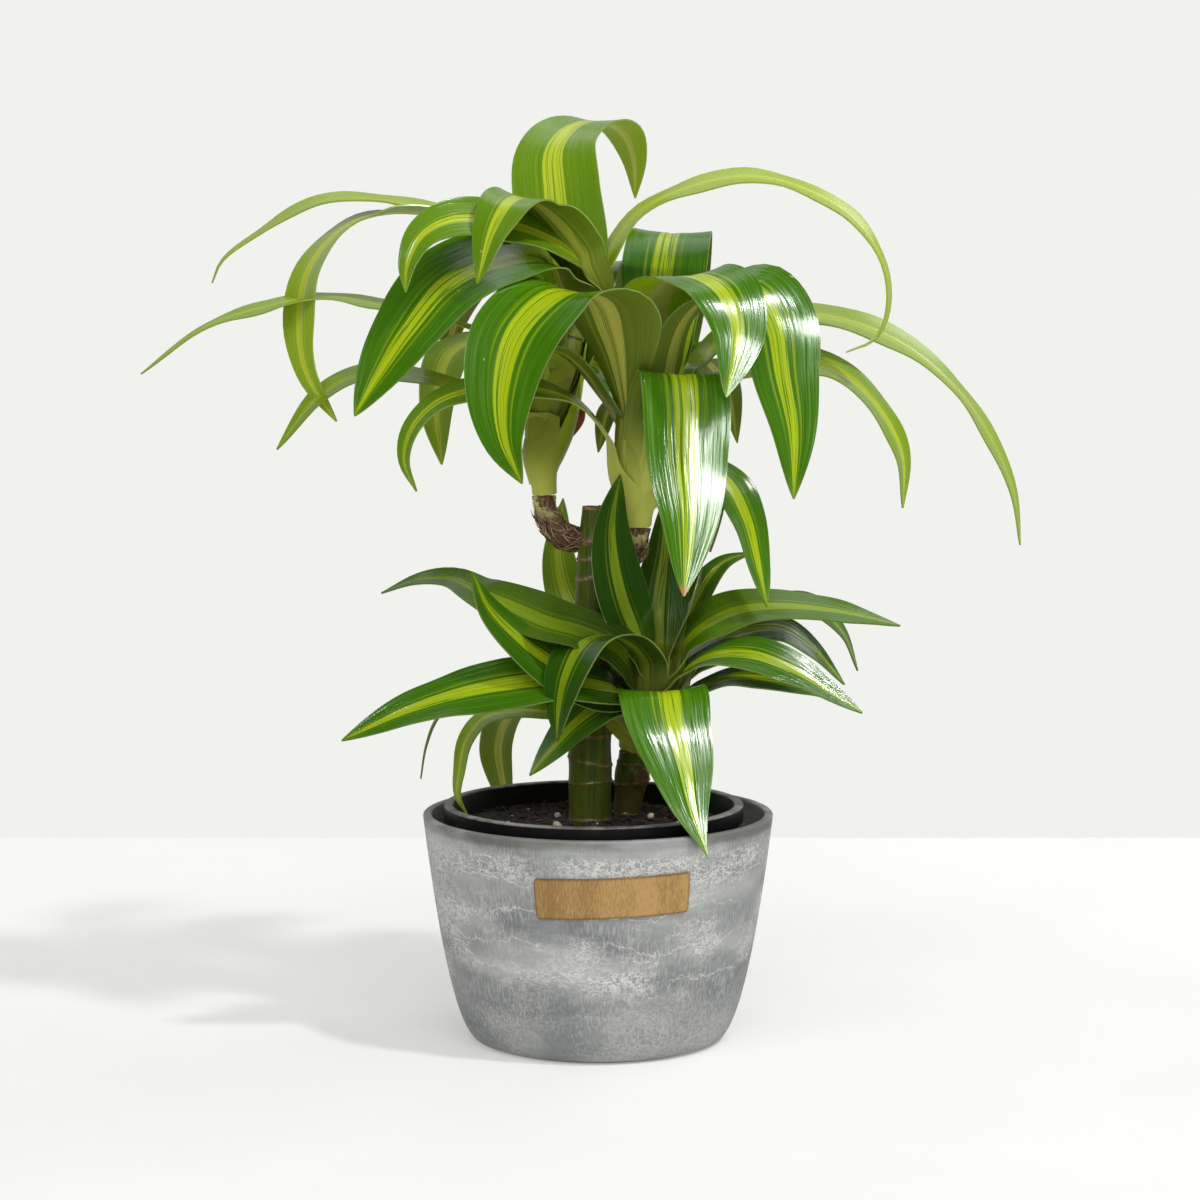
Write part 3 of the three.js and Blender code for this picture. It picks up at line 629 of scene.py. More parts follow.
def makeShoot(name, node, stem, leaves):
    lowFirst = sorted(range(len(leaves)), key=lambda index: leaves[index]["at"][0][2])
    layers = {index: 1 - place / (len(leaves) - 1) for place, index in enumerate(lowFirst)}
    seeds = 100 * len(leaves)
    blades = [makeLeaf(seeds + index, stem, layers[index], **leaf) for index, leaf in enumerate(leaves)]
    crown = joinPieces(blades, name)
    giveLooks(crown, leafTop, leafUnder, stemLook)
    applyModifier(crown, "SOLIDIFY", thickness=leafShape["thickness"] * mm, offset=0, material_offset=1)
    radii = np.array(stem["radii"]).T
    core = tubePiece(stem["path"], 36, 44, lambda share, turn: np.interp(share, *radii))
    core.data.materials.append(stemLook)
    crown = joinPieces([crown, core], name)
    aboveFoot = getPoints(crown)[:, 2] / mm - stem["path"][0][2] - datum
    # a stem's pale value is painted light over the whole stem, plus a paleness that fades out over the
    # lowest 26 mm
    setValue(crown, "paleAndLitStem", np.maximum(stem["pale"], 0.6 * (1 - ease(aboveFoot / 26))))
    smoothPiece(crown, 60)
    finishPiece(crown, "leaf", node)


makeShoot("leftShoot", "left_shoot", stemShape["left"], leftLeaves)
makeShoot("rightShoot", "right_shoot", stemShape["right"], rightLeaves)
makeShoot("lowerShoot", "lower_shoot", stemShape["lower"], lowerLeaves)
print("shoots made")

collarShape = {
    "leftPath": [[-3, -5, 250], [-19, -4, 254], [-25.5, -1, 263], [-27, 0, 268], [-27.2, 0, 273]],
    "rightPath": [[-1, -5, 233], [12, -7, 240], [19, -8, 248], [20, -8, 253], [20, -8, 257]],
    "radii": [[0, 5.4], [0.2, 6], [0.4, 6.4], [0.5, 5.8], [0.7, 6.3], [0.85, 5.9], [1, 6.1]],
    "sunk": 0.3,  # how far the body lies below these radii, under its fibres
    "rough": 0.45,
    "greenTop": 16,  # how far down from its top green shows through
    "strands": 260,
    "strandThickness": 0.5,
}
barkColors = {
    "dark": (0.045, 0.018, 0.008),
    "brown": (0.160, 0.078, 0.030),
    "tan": (0.42, 0.28, 0.13),
    "green": (0.50, 0.46, 0.18),
}

barkLook = newLook("barkLook", barkColors["brown"], 0.85)
barkGrain = noise(objectPlace((1, 1, 0.5)), 420.0, 6.0, 0.65, 0.6)
barkPatch = noise(objectPlace(), 130.0, 3.0)
barkColor = ramp(barkGrain, [
    (0.38, barkColors["dark"]), (0.56, barkColors["brown"]), (0.78, barkColors["tan"])])
greenShare = times(fade(barkPatch, 0.46, 0.54), pointValue("young"))
feed("Base Color", blendColor(greenShare, barkColor, barkColors["green"]))
feed("Normal", bump(barkGrain, 0.9, 0.7))

strandLook = newLook("strandLook", barkColors["brown"], 0.8)
strandTone = pointValue("tone")
strandGrain = noise(objectPlace(), 700.0, 3.0)
strandTone = calc("MULTIPLY_ADD", minus(strandGrain, 0.5), 0.6, strandTone)
feed("Base Color", ramp(strandTone, [
    (0.1, barkColors["dark"]), (0.55, barkColors["brown"]), (0.95, barkColors["tan"])]))
feed("Normal", bump(strandGrain, 0.5, 0.2))


def makeStrand(points, thickness, tone, cells=5, rows=9):  # a thin fibre of bark or coir
    def taper(share, turn):
        return thickness / 2 * np.sin(np.pi * (0.12 + 0.8 * share))

    strand = tubePiece(points, cells, rows, taper)
    setValue(strand, "tone", tone)
    return strand


def makeCollar(name, path, node, seed):
    draw = random.Random(seed)
    radii = np.array(collarShape["radii"]).T

    def lumpyRadius(share, turn):
        radius = np.interp(share, *radii) - collarShape["sunk"]
        spots = bendAlong(path, share, turn, radius)
        lumpy = lumps(spots, 7, seed) + 0.7 * lumps(spots * [1, 1, 1.6], 2.6, seed + 1)
        return radius + collarShape["rough"] * lumpy

    body = tubePiece(path, 48, 50, lumpyRadius)
    belowTop = path[-1][2] + datum - getPoints(body)[:, 2] / mm
    setValue(body, "young", ease((collarShape["greenTop"] - belowTop) / 12))
    body.data.materials.append(barkLook)
    smoothPiece(body, 60)
    strands = []
    for _ in range(collarShape["strands"]):
        start, turn = draw.uniform(0.1, 0.66) ** 1.1, draw.uniform(0, 6.28)
        reach, drift = draw.uniform(0.08, 0.3), draw.uniform(-1.4, 1.4)
        shares = np.clip(start + reach * np.linspace(0, 1, 4), 0, 0.97)
        turns = turn + drift * np.linspace(0, 1, 4)
        stands = [0.0, draw.uniform(0.1, 0.7), draw.uniform(0.1, 0.9), draw.uniform(-0.2, 1.6)]
        points = bendAlong(path, shares, turns, np.interp(shares, *radii) + stands) - [0, 0, datum]
        thickness = collarShape["strandThickness"] * draw.uniform(0.6, 1.5)
        strands.append(makeStrand(points, thickness, draw.random()))
    fibres = joinPieces(strands, name + "Fibres")
    fibres.data.materials.append(strandLook)
    smoothPiece(fibres, 80)
    finishPiece(joinPieces([body, fibres], name), "bark", node)


makeCollar("leftCollar", collarShape["leftPath"], "left_collar", 5)
makeCollar("rightCollar", collarShape["rightPath"], "right_collar", 9)
print("collars made")

caneShape = {
    "rows": 420,
    "sides": 56,
    "cap": [0.0, 0.3, 0.55, 0.78, 0.93, 1.0],  # the cut top's rings, from its edge to its middle
    "tallPath": [[-4, -5, 38], [-4, -5, 110], [-4, -5, 175], [-3, -5, 222], [-2, -5, 268]],
    "shortPath": [[13, 12, 42], [14, 12, 105], [17, 12, 126], [18, 12, 136], [18, 12, 142]],
    # ring scars: height, slant in mm across the cane, the angle it is highest at, width, boldness
    "tallScars": [
        [112, 0.6, 0.4, 0.9, 0.7], [131.5, 0.5, 2.5, 0.8, 0.5], [142, 2.4, 4.5, 1.0, 0.7],
        [155.5, 0.5, 3.5, 1.1, 0.8], [177, 0.8, 1.0, 2.4, 1.0], [205, 1.0, 0.4, 1.1, 0.8],
        [234.5, 0.8, 1.2, 1.5, 0.9], [243, 1.2, 5.2, 1.3, 0.9], [253.5, 0.5, 2.0, 2.6, 1.0],
    ],
    "shortScars": [[112, 0.5, 1.0, 0.9, 0.5], [128, 2.2, 1.4, 1.2, 0.8], [139, 1.0, 3.0, 1.0, 0.7]],
    "knot": [132, 0.5, 4.2],  # height, angle and size of the rough scar on the short cane
}
caneColors = {
    "green": (0.052, 0.078, 0.003),
    "light": (0.105, 0.145, 0.009),
    "brown": (0.115, 0.082, 0.020),
    "scar": (0.34, 0.22, 0.11),
    "knot": (0.120, 0.050, 0.024),
}

caneLook = newLook("caneLook", caneColors["green"], 0.42, Specular_IOR_Level=0.3)
caneGrain = noise(objectPlace((1, 1, 0.03)), 800.0, 4.0, 0.6)
caneCloud = noise(objectPlace((1, 1, 0.5)), 70.0, 3.0)
caneColor = blendColor(fade(caneGrain, 0.34, 0.74), caneColors["green"], caneColors["light"])
brownShare = most(fade(caneCloud, 0.52, 0.72, 0.0, 0.7), pointValue("brown"))
caneColor = blendColor(brownShare, caneColor, caneColors["brown"])
scarGrain = noise(objectPlace(), 500.0, 5.0, 0.6)
scarColor = blendColor(fade(scarGrain, 0.42, 0.6), barkColors["brown"], caneColors["scar"])
caneColor = blendColor(pointValue("scar"), caneColor, scarColor)
knotColor = blendColor(fade(scarGrain, 0.4, 0.62), caneColors["knot"], barkColors["brown"])
caneColor = blendColor(pointValue("knot"), caneColor, knotColor)
feed("Base Color", caneColor)
caneRough = most(pointValue("scar"), pointValue("knot"))
feed("Roughness", fade(caneRough, 0.0, 1.0, 0.36, 0.8))
feed("Normal", bump(scarGrain, 0.25, 0.4, bump(caneGrain, 0.3, 0.25)))


def makeCane(name, node, path, bodyAt, scars, seed, knot=None):
    rows = caneShape["rows"]
    piece, around, along = gridPiece(caneShape["sides"], rows)
    row = np.rint(along * rows)
    capShares = np.array(caneShape["cap"])
    capRows = len(capShares) - 1
    share = np.clip((row - 1) / (rows - 1 - capRows), 0, 1)
    angle = 2 * np.pi * around
    body = bodyAt(share)
    line, _, _ = walk(path, share)
    height = line[:, 2]
    scarred = np.zeros(len(share))
    swell = np.zeros(len(share))
    rounded = np.stack([np.cos(angle), np.sin(angle), height / 9], 1)
    wobble = 0.35 * lumps(rounded, 1.6, seed)
    for scarHeight, slant, high, width, bold in scars:
        away = height - (scarHeight + slant * np.cos(angle - high) + wobble)
        scarred = np.maximum(scarred, bold * np.exp(-((away / (0.55 * width)) ** 2)))
        swell += 0.55 * np.exp(-((away / (0.7 * width)) ** 2)) + 0.3 * np.exp(-((away / 4.5) ** 2))
    ragged = scarred * 0.22 * lumps(rounded * [6, 6, 9], 1.9, seed + 3)
    body = body + swell * 0.9 + ragged + 0.12 * lumps(rounded, 2.5, seed + 5)
    knotted = np.zeros(len(share))
    if knot:
        knotHeight, knotAngle, size = knot
        aside = (np.mod(angle - knotAngle + np.pi, 2 * np.pi) - np.pi) * body
        far = np.hypot(aside, 0.9 * (height - knotHeight)) / size
        knotted = ease(1.6 - 1.35 * far)
        body = body + 1.7 * np.exp(-(((far - 0.85) / 0.35) ** 2)) * ease(2 - far)
        body = body + knotted * 0.35 * lumps(rounded * [7, 7, 14], 1.7, seed + 7)
    cap = np.clip(row - (rows - capRows), 0, capRows).astype(int)
    body = body * (1 - capShares[cap]) * (row > 0)
    spots = bendAlong(path, share, angle, body)
    onCap = (cap > 0) * (1 - capShares[cap])
    spots[:, 2] += (cap > 0) * (0.6 * lumps(spots, 3.5, seed + 9) - 0.7 * (1 - onCap))
    setPoints(piece, spots)
    setValue(piece, "scar", np.maximum(scarred, (share >= 0.993) * 1.0))
    setValue(piece, "knot", np.maximum(knotted, (cap > 1) * 0.5))
    brown = 0.55 * ease((125 - height) / 22) + 0.6 * (knot is not None) * ease((136 - height) / 14)
    setValue(piece, "brown", brown)
    closeRound(piece)
    smoothPiece(piece, 60)
    piece.name = piece.data.name = name
    giveLooks(piece, caneLook)
    finishPiece(piece, "cane", node)


makeCane(
    "tallCane", "tall_cane", caneShape["tallPath"],
    lambda t: 10.7 - 4.6 * np.maximum(0, (t - 0.58) / 0.42) ** 1.2, caneShape["tallScars"], 21,
)
makeCane(
    "shortCane", "short_cane", caneShape["shortPath"],
    lambda t: 7.5 + 1.7 * np.exp(-(((t - 0.88) / 0.07) ** 2)) - 0.4 * t, caneShape["shortScars"], 31,
    caneShape["knot"],
)
print("canes made")

planterShape = {
    "height": 115,
    "footRadius": 61,
    "rimRadius": 89,
    "bulge": 0.5,
    "wall": 4.8,
    "floor": 6,
    "sides": 192,
    # crinkled lines round it: height in metres, sway, and where in the noise each begins
    "wisps": [[0.094, 0.045, 0.0], [0.077, 0.050, 0.7], [0.064, 0.055, 1.9], [0.046, 0.060, 3.1]],
}


def planterRadius(z):
    foot, rim = planterShape["footRadius"], planterShape["rimRadius"]
    return foot + (rim - foot) * (np.maximum(z, 0) / planterShape["height"]) ** planterShape["bulge"]


def planterProfile():
    height, wall, floor = planterShape["height"], planterShape["wall"], planterShape["floor"]
    heights = height * np.linspace(0, 1, 40) ** 1.5
    outside = [[planterRadius(z), z] for z in heights if 1 < z < height - 1.6]
    inside = [[planterRadius(z) - wall, z] for z in heights if floor + 2 < z < height - 1.6]
    rim = planterShape["rimRadius"]
    turns = np.radians(np.linspace(0, 90, 6))
    outerEdge = [[rim - 1.3 + 1.1 * math.cos(t), height - 1.2 + 1.2 * math.sin(t)] for t in turns]
    inner = rim - wall
    innerEdge = [[inner + 1.2 - 1.1 * math.cos(t), height - 1.2 + 1.2 * math.sin(t)] for t in turns[::-1]]
    foot = [[0, 0], [30, 0], [55, 0], [60, 0], [60.7, 0.15], [61.2, 0.5]]
    bottom = [[planterRadius(floor) - wall - 2, floor], [30, floor], [0, floor]]
    return foot + outside + outerEdge + innerEdge + inside[::-1] + bottom


planterColors = {
    "deep": (0.178, 0.190, 0.192),
    "gray": (0.300, 0.312, 0.308),
    "light": (0.46, 0.465, 0.455),
    "vein": (0.74, 0.73, 0.70),
    "olive": (0.135, 0.140, 0.120),
    # foot: painted shade along the very bottom, where the planter meets the floor
    "foot": (0.08, 0.08, 0.078),
}

stoneLook = newLook("stoneLook", planterColors["gray"], 0.55, Specular_IOR_Level=0.4)
stoneHeight = addNode("SeparateXYZ", {0: objectPlace()}).outputs[2]
# every point is pushed about a little, so that the curls are crinkled
stoneSpot = objectPlace((1, 1, 1.6))
wander = addNode("TexNoise", {"Vector": stoneSpot, "Scale": 70.0, "Detail": 6.0}).outputs["Color"]
wander = addNode("VectorMath", {0: wander, 1: (0.5, 0.5, 0.5)}, operation="SUBTRACT").outputs[0]
wander = addNode("VectorMath", {0: wander, "Scale": 0.014}, operation="SCALE").outputs[0]
stoneWarped = addNode("VectorMath", {0: stoneSpot, 1: wander}, operation="ADD").outputs[0]


def crinkle(scale, width, detail):  # thin lines where a noise crosses its middle value
    value = noise(stoneWarped, scale, detail, 0.6)
    away = distance(value, 0.5)
    return fade(away, 0.0, width, 1.0, 0.0)


def wisp(height, spread, shift):  # how far a point is from one crinkled line round the planter
    place = {0: objectPlace((1, 1, 0.8)), 1: (shift, shift, 0)}
    place = addNode("VectorMath", place, operation="ADD").outputs[0]
    sway = minus(noise(place, 13.0, 12.0, 0.69), 0.5)
    return distance(stoneHeight, calc("MULTIPLY_ADD", sway, spread, height))


cloud = noise(objectPlace((1, 1, 2.6)), 15.0, 4.0, 0.55, 0.3)
stoneColor = ramp(cloud, [
    (0.33, planterColors["deep"]), (0.50, planterColors["gray"]), (0.68, planterColors["light"])])
scratch = noise(objectPlace((1, 1, 0.035)), 1100.0, 3.0, 0.6)
scratchArea = fade(noise(objectPlace((1, 1, 1.5)), 30.0, 3.0), 0.36, 0.60, 0.25, 1.0)
scratches = times(fade(scratch, 0.46, 0.64), scratchArea)
wispsAway = [wisp(*plan) for plan in planterShape["wisps"]]
wisps = reduce(most, [fade(away, 0.0001, 0.0005, 1.0, 0.0) for away in wispsAway])
beside = reduce(most, [fade(away, 0.002, 0.014, 1.0, 0.0) for away in wispsAway])
wisps = times(wisps, fade(noise(objectPlace(), 33.0, 4.0), 0.38, 0.52, 0.0, 1.0))
curlArea = fade(noise(objectPlace((1, 1, 1.8)), 20.0, 5.0, 0.62), 0.42, 0.58)
curlArea = times(curlArea, calc("MULTIPLY_ADD", beside, 0.7, 0.3))
topBand = times(fade(stoneHeight, 0.091, 0.097), fade(stoneHeight, 0.104, 0.108, 1.0, 0.0))
topBand = times(topBand, fade(noise(objectPlace(), 28.0, 3.0), 0.38, 0.52, 0.25, 1.0))
curlArea = most(curlArea, topBand)
curls = times(most(crinkle(110.0, 0.028, 4.0), times(crinkle(260.0, 0.06, 2.0), 0.9)), curlArea)
rimColor = blendColor(fade(cloud, 0.42, 0.62), planterColors["olive"], planterColors["gray"])
for share, tone in (
    (fade(stoneHeight, 0.030, 0.052, 0.45, 0.0), planterColors["deep"]),
    (times(scratches, 0.7), planterColors["light"]),
    (times(curlArea, 0.12), planterColors["light"]),
    (times(curls, 0.9), planterColors["vein"]),
    (times(wisps, 0.75), planterColors["vein"]),
    (times(fade(stoneHeight, 0.1085, 0.1115), 0.85), rimColor),
    # the bottom two millimetres are painted dark: shade where the planter meets the floor
    (fade(stoneHeight, 0.0006, 0.0022, 0.8, 0.0), planterColors["foot"]),
):
    stoneColor = blendColor(share, stoneColor, tone)
feed("Base Color", stoneColor)
feed("Roughness", fade(cloud, 0.3, 0.7, 0.5, 0.62))
stoneRelief = bump(scratch, 0.25, 0.12)
stoneRelief = bump(most(wisps, times(curls, 0.6)), 0.5, 0.25, stoneRelief)
feed("Normal", bump(noise(stoneSpot, 60.0, 3.0), 0.2, 0.6, stoneRelief))

planter = turnedPiece("planter_shell", planterProfile(), planterShape["sides"])
smoothPiece(planter, 40)
giveLooks(planter, stoneLook)
finishPiece(planter, "planter_stone", "planter")
print("planter made")

potShape = {
    "left": -2.2,
    "top": 119.5,
    "rimRadius": 76,
    "rimHeight": 9,
    "wallRadius": 73.2,
    "footRadius": 50,
    "wall": 1.9,
    "sides": 192,
}
soilShape = {
    "top": 108.5,
    "mound": 3,
    "roughness": 1.3,
    "reach": 68,  # how far from the pot's middle the bits lie
    "chips": 300,
    "chipSizes": [[2.2, 1.2, 0.5], [3.0, 0.8, 0.6], [1.4, 1.2, 0.8]],
    "fibres": 240,
    "perlite": 16,
    "perliteSizes": [[1.7, 1.5, 1.3], [1.3, 1.5, 1.1]],
    # white grains that show from the front: place from the pot's middle, and size
    "pearls": [[-53, -9, 1.3], [-43, -18, 1.2], [-42.5, 12.5, 0.9], [-18.3, 3, 1.5], [-18, -24, 1.4],
               [-17, -39, 1.3], [28.7, -3, 1.4], [42.5, -18, 1.5], [46, -20, 1.1], [-60, -4, 0.9]],
}


def potRadius(z):
    low, high = planterShape["floor"], potShape["top"]
    foot, wall = potShape["footRadius"], potShape["wallRadius"]
    return foot + (wall - foot) * (z - low) / (high - low)


def potProfile():
    foot = planterShape["floor"] + gap
    top, rim, wall = potShape["top"], potShape["rimRadius"], potShape["wall"]
    underRim = top - potShape["rimHeight"]
    outside = [[potRadius(z), z] for z in np.linspace(foot + 1, underRim - 0.4, 14)]
    turns = np.radians(np.linspace(0, 90, 5))
    lip = [[potRadius(underRim), underRim], [rim - 0.5, underRim + 0.2], [rim, underRim + 0.8]]
    lip += [[rim, top - 4]]
    lip += [[rim - 0.9 + 0.9 * math.cos(t), top - 0.9 + 0.9 * math.sin(t)] for t in turns]
    inner = potRadius(top) - wall
    lip += [[inner + 0.9 - 0.9 * math.cos(t), top - 0.9 + 0.9 * math.sin(t)] for t in turns[::-1]]
    inside = [[potRadius(z) - wall, z] for z in np.linspace(top - 3, foot + wall + 1, 16)]
    start = [[0, foot], [30, foot], [potRadius(foot) - 1, foot]]
    return start + outside + lip + inside + [[potRadius(foot) - wall - 1, foot + wall], [0, foot + wall]]


# the rim's grey is partly dust and partly a painted sheen
plasticColors = {"black": (0.006, 0.006, 0.006), "dustAndSheen": (0.26, 0.255, 0.24)}
plasticLook = newLook("plasticLook", plasticColors["black"], 0.4, Specular_IOR_Level=0.25)
plasticGrain = noise(objectPlace(), 260.0, 4.0)
wear = noise(objectPlace((1, 1, 0.4)), 55.0, 5.0, 0.65)
plasticUp = addNode("SeparateXYZ", {0: objectPlace()}).outputs[2]
# the rim's top is painted lighter grey: partly dust on it, and partly a painted sheen where the glossy rim
# would reflect the bright room at a glancing angle
lipShare = fade(plasticUp, 0.1183, 0.1192)
dustAndSheen = times(lipShare, fade(wear, 0.36, 0.6, 0.25, 1.0))
plasticColor = blendColor(dustAndSheen, plasticColors["black"], plasticColors["dustAndSheen"])
feed("Base Color", plasticColor)
feed("Roughness", fade(wear, 0.3, 0.7, 0.34, 0.55))
feed("Normal", bump(plasticGrain, 0.15, 0.12))

nurseryPot = turnedPiece("nurseryPot", potProfile(), potShape["sides"], left=potShape["left"])
smoothPiece(nurseryPot, 40)
giveLooks(nurseryPot, plasticLook)
finishPiece(nurseryPot, "pot_plastic", "nursery_pot")
print("nursery pot made")


def soilInside(z):
    return potRadius(z) - potShape["wall"] - gap


def soilLevel(x, y):  # height of the soil at a place measured from the pot's middle
    r = np.hypot(x, y)
    bumps = np.sin(x * 0.31 + 1) * np.sin(y * 0.27) + 0.6 * np.sin(x * 0.62 - y * 0.55)
    edge = np.minimum(1, (soilInside(soilShape["top"]) - r) / 12)
    return soilShape["top"] + soilShape["mound"] * (1 - (r / 70) ** 2) + 1.1 * edge * bumps


def roughSoil(spots, radius):
    onTop = spots[:, 2] > soilShape["top"] - 1
    level = soilLevel(spots[:, 0], spots[:, 1])
    crumbs = lumps(spots * [1, 1, 0], 9, 41) + 0.8 * lumps(spots * [1, 1, 0], 4, 43)
    edge = np.clip((soilInside(soilShape["top"]) - radius) / 5, 0, 1)
    spots[:, 2] = np.where(onTop, level + 0.5 * soilShape["roughness"] * crumbs * edge, spots[:, 2])
    return spots + [potShape["left"], 0, 0]


soilColors = {
    "black": (0.005, 0.004, 0.003),
    "brown": (0.026, 0.014, 0.008),
    "rust": (0.150, 0.058, 0.028),
    "perlite": (0.62, 0.58, 0.50),
    "stained": (0.42, 0.34, 0.24),
}

earthLook = newLook("earthLook", soilColors["brown"], 0.95)
earthGrain = noise(objectPlace(), 520.0, 6.0, 0.7)
earthPatch = noise(objectPlace(), 60.0, 3.0)
earthColor = ramp(earthGrain, [
    (0.38, soilColors["black"]), (0.56, soilColors["brown"]), (0.72, soilColors["rust"])])
feed("Base Color", blendColor(
    fade(earthPatch, 0.45, 0.6, 0.0, 0.6), earthColor, soilColors["black"]))
feed("Normal", bump(earthGrain, 1.0, 1.2))

crumbLook = newLook("crumbLook", soilColors["brown"], 0.9)
crumbGrain = noise(objectPlace(), 480.0, 4.0)
crumbTone = calc("MULTIPLY_ADD", minus(crumbGrain, 0.5), 0.6,
                 pointValue("tone"))
crumbPatch = noise(objectPlace(), 50.0, 2.0)
crumbTone = times(crumbTone, fade(crumbPatch, 0.44, 0.58, 0.35, 1.1))
feed("Base Color", ramp(crumbTone, [
    (0.1, soilColors["black"]), (0.5, soilColors["brown"]), (0.95, soilColors["rust"])]))
feed("Normal", bump(crumbGrain, 0.8, 0.4))

perliteLook = newLook("perliteLook", soilColors["perlite"], 0.8)
perliteGrain = noise(objectPlace(), 900.0, 4.0)
feed("Base Color", blendColor(
    fade(perliteGrain, 0.4, 0.65), soilColors["stained"], soilColors["perlite"]))
feed("Normal", bump(perliteGrain, 0.8, 0.35))

soilFoot = planterShape["floor"] + 2 * gap + potShape["wall"]
soilProfile = [[0, soilFoot], [30, soilFoot]]
soilProfile += [[soilInside(z), z] for z in np.linspace(soilFoot, soilShape["top"] - 2, 12)]
soilProfile += [[r, soilShape["top"]] for r in np.linspace(68, 0, 74)]
soil = turnedPiece("soilBed", soilProfile, 210, roughSoil)
smoothPiece(soil, 70)
giveLooks(soil, earthLook)
finishPiece(soil, "soil", "soil")


def scatter(draw):  # a place on the soil, clear of the canes and the pot's wall
    reach = soilShape["reach"]
    while True:
        x, y = draw.uniform(-reach, reach), draw.uniform(-reach, reach)
        clear = math.hypot(x, y) < reach - 2
        for path, away in ((caneShape["tallPath"], 13), (caneShape["shortPath"], 11)):
            clear = clear and math.hypot(x + potShape["left"] - path[1][0], y - path[1][1]) > away
        if clear:
            return x, y


def makeLump(draw, size, roughness):  # a small uneven lump, with its middle at the origin
    clearSelection()
    bpy.ops.mesh.primitive_ico_sphere_add(subdivisions=2, radius=1)
    lump = bpy.context.object
    spots = getPoints(lump)
    spots *= 1 + roughness * lumps(spots, 1.8, draw.randint(0, 9999))[:, None]
    setPoints(lump, spots * size)
    return lump


def settleOn(piece, spots, x, y, rise, turn, tip):
    c, s = math.cos(turn), math.sin(turn)
    spots = spots @ np.array([[c, s, 0], [-s, c, 0], [0, 0, 1]])
    ct, st = math.cos(tip), math.sin(tip)
    spots = spots @ np.array([[ct, 0, st], [0, 1, 0], [-st, 0, ct]])
    level = float(soilLevel(np.array(x), np.array(y)))
    setPoints(piece, spots + [x + potShape["left"], y, level + rise])


def makeSoilBits():
    draw = random.Random(77)
    chipKinds = [makeLump(draw, size, 0.3) for size in soilShape["chipSizes"]]
    grainKinds = [makeLump(draw, size, 0.16) for size in soilShape["perliteSizes"]]
    chips, pearls = [], []
    for kinds, made, count in (
        (chipKinds, chips, soilShape["chips"]), (grainKinds, pearls, soilShape["perlite"])
    ):
        shapes = [getPoints(kind) / mm for kind in kinds]
        for index in range(count):
            piece = copyPiece(kinds[index % len(kinds)])
            x, y = scatter(draw)
            size = draw.uniform(0.55, 1.35)
            if made is pearls:
                size *= 0.5
                if index < len(soilShape["pearls"]):
                    x, y, size = soilShape["pearls"][index]
            settleOn(piece, shapes[index % len(kinds)] * size, x, y, draw.uniform(0.1, 0.9) * size,
                     draw.uniform(0, 6.28), draw.uniform(-0.6, 0.6))
            setValue(piece, "tone", draw.random())
            made.append(piece)
        for kind in kinds:
            bpy.data.objects.remove(kind)
    for _ in range(soilShape["fibres"]):
        x, y = scatter(draw)
        turn, long = draw.uniform(0, 6.28), draw.uniform(3, 9)
        points = []
        for k in range(4):
            reach = long * (k / 3 - 0.5)
            px, py = x + reach * math.cos(turn), y + reach * math.sin(turn)
            turn += draw.uniform(-0.5, 0.5)
            level = float(soilLevel(np.array(px), np.array(py)))
            points.append([px + potShape["left"], py, level + draw.uniform(0.2, 1.6) - datum])
        if max(math.hypot(p[0] - potShape["left"], p[1]) for p in points) < soilShape["reach"]:
            chips.append(makeStrand(points, draw.uniform(0.3, 0.6), 0.5 + 0.5 * draw.random(), 4, 6))
    crumbs, grains = joinPieces(chips, "soilCrumbs"), joinPieces(pearls, "soilGrains")
    giveLooks(crumbs, crumbLook)
    giveLooks(grains, perliteLook)
    bits = joinPieces([crumbs, grains], "soilBits")
    smoothPiece(bits, 50)
    finishPiece(bits, "soil")


makeSoilBits()
print("soil made")

plateShape = {
    "width": 76,
    "height": 20,
    "thickness": 1.05,
    "corner": 1.6,
    "middle": 87,
    "turn": 5,  # degrees round the planter, to the right
    "tilt": 1.7,  # degrees, its right end higher
    "bevel": 0.22,
    "behind": 0.15,  # room between its back and the planter, besides the gap
    "darkEdge": 1.1,
}

brassColors = {"light": (0.70, 0.43, 0.165), "dark": (0.40, 0.235, 0.080), "edge": (0.09, 0.050, 0.020)}
brassLook = newLook("brassLook", brassColors["light"], 0.38, Metallic=0.3)
brush = noise(objectPlace((1, 1, 0.003)), 2300.0, 3.0, 0.6)
tarnish = noise(objectPlace((1, 0.2, 0.05)), 60.0, 3.0)
brassShare = calc("MULTIPLY_ADD", minus(brush, 0.5), 1.1, tarnish)
brassColor = blendColor(fade(brassShare, 0.25, 0.75), brassColors["dark"], brassColors["light"])
plateRim = pointValue("rim")
feed("Base Color", blendColor(times(plateRim, 0.75), brassColor,
                                         brassColors["edge"]))
feed("Roughness", fade(brassShare, 0.2, 0.8, 0.5, 0.34))
feed("Normal", bump(brush, 0.35, 0.06))


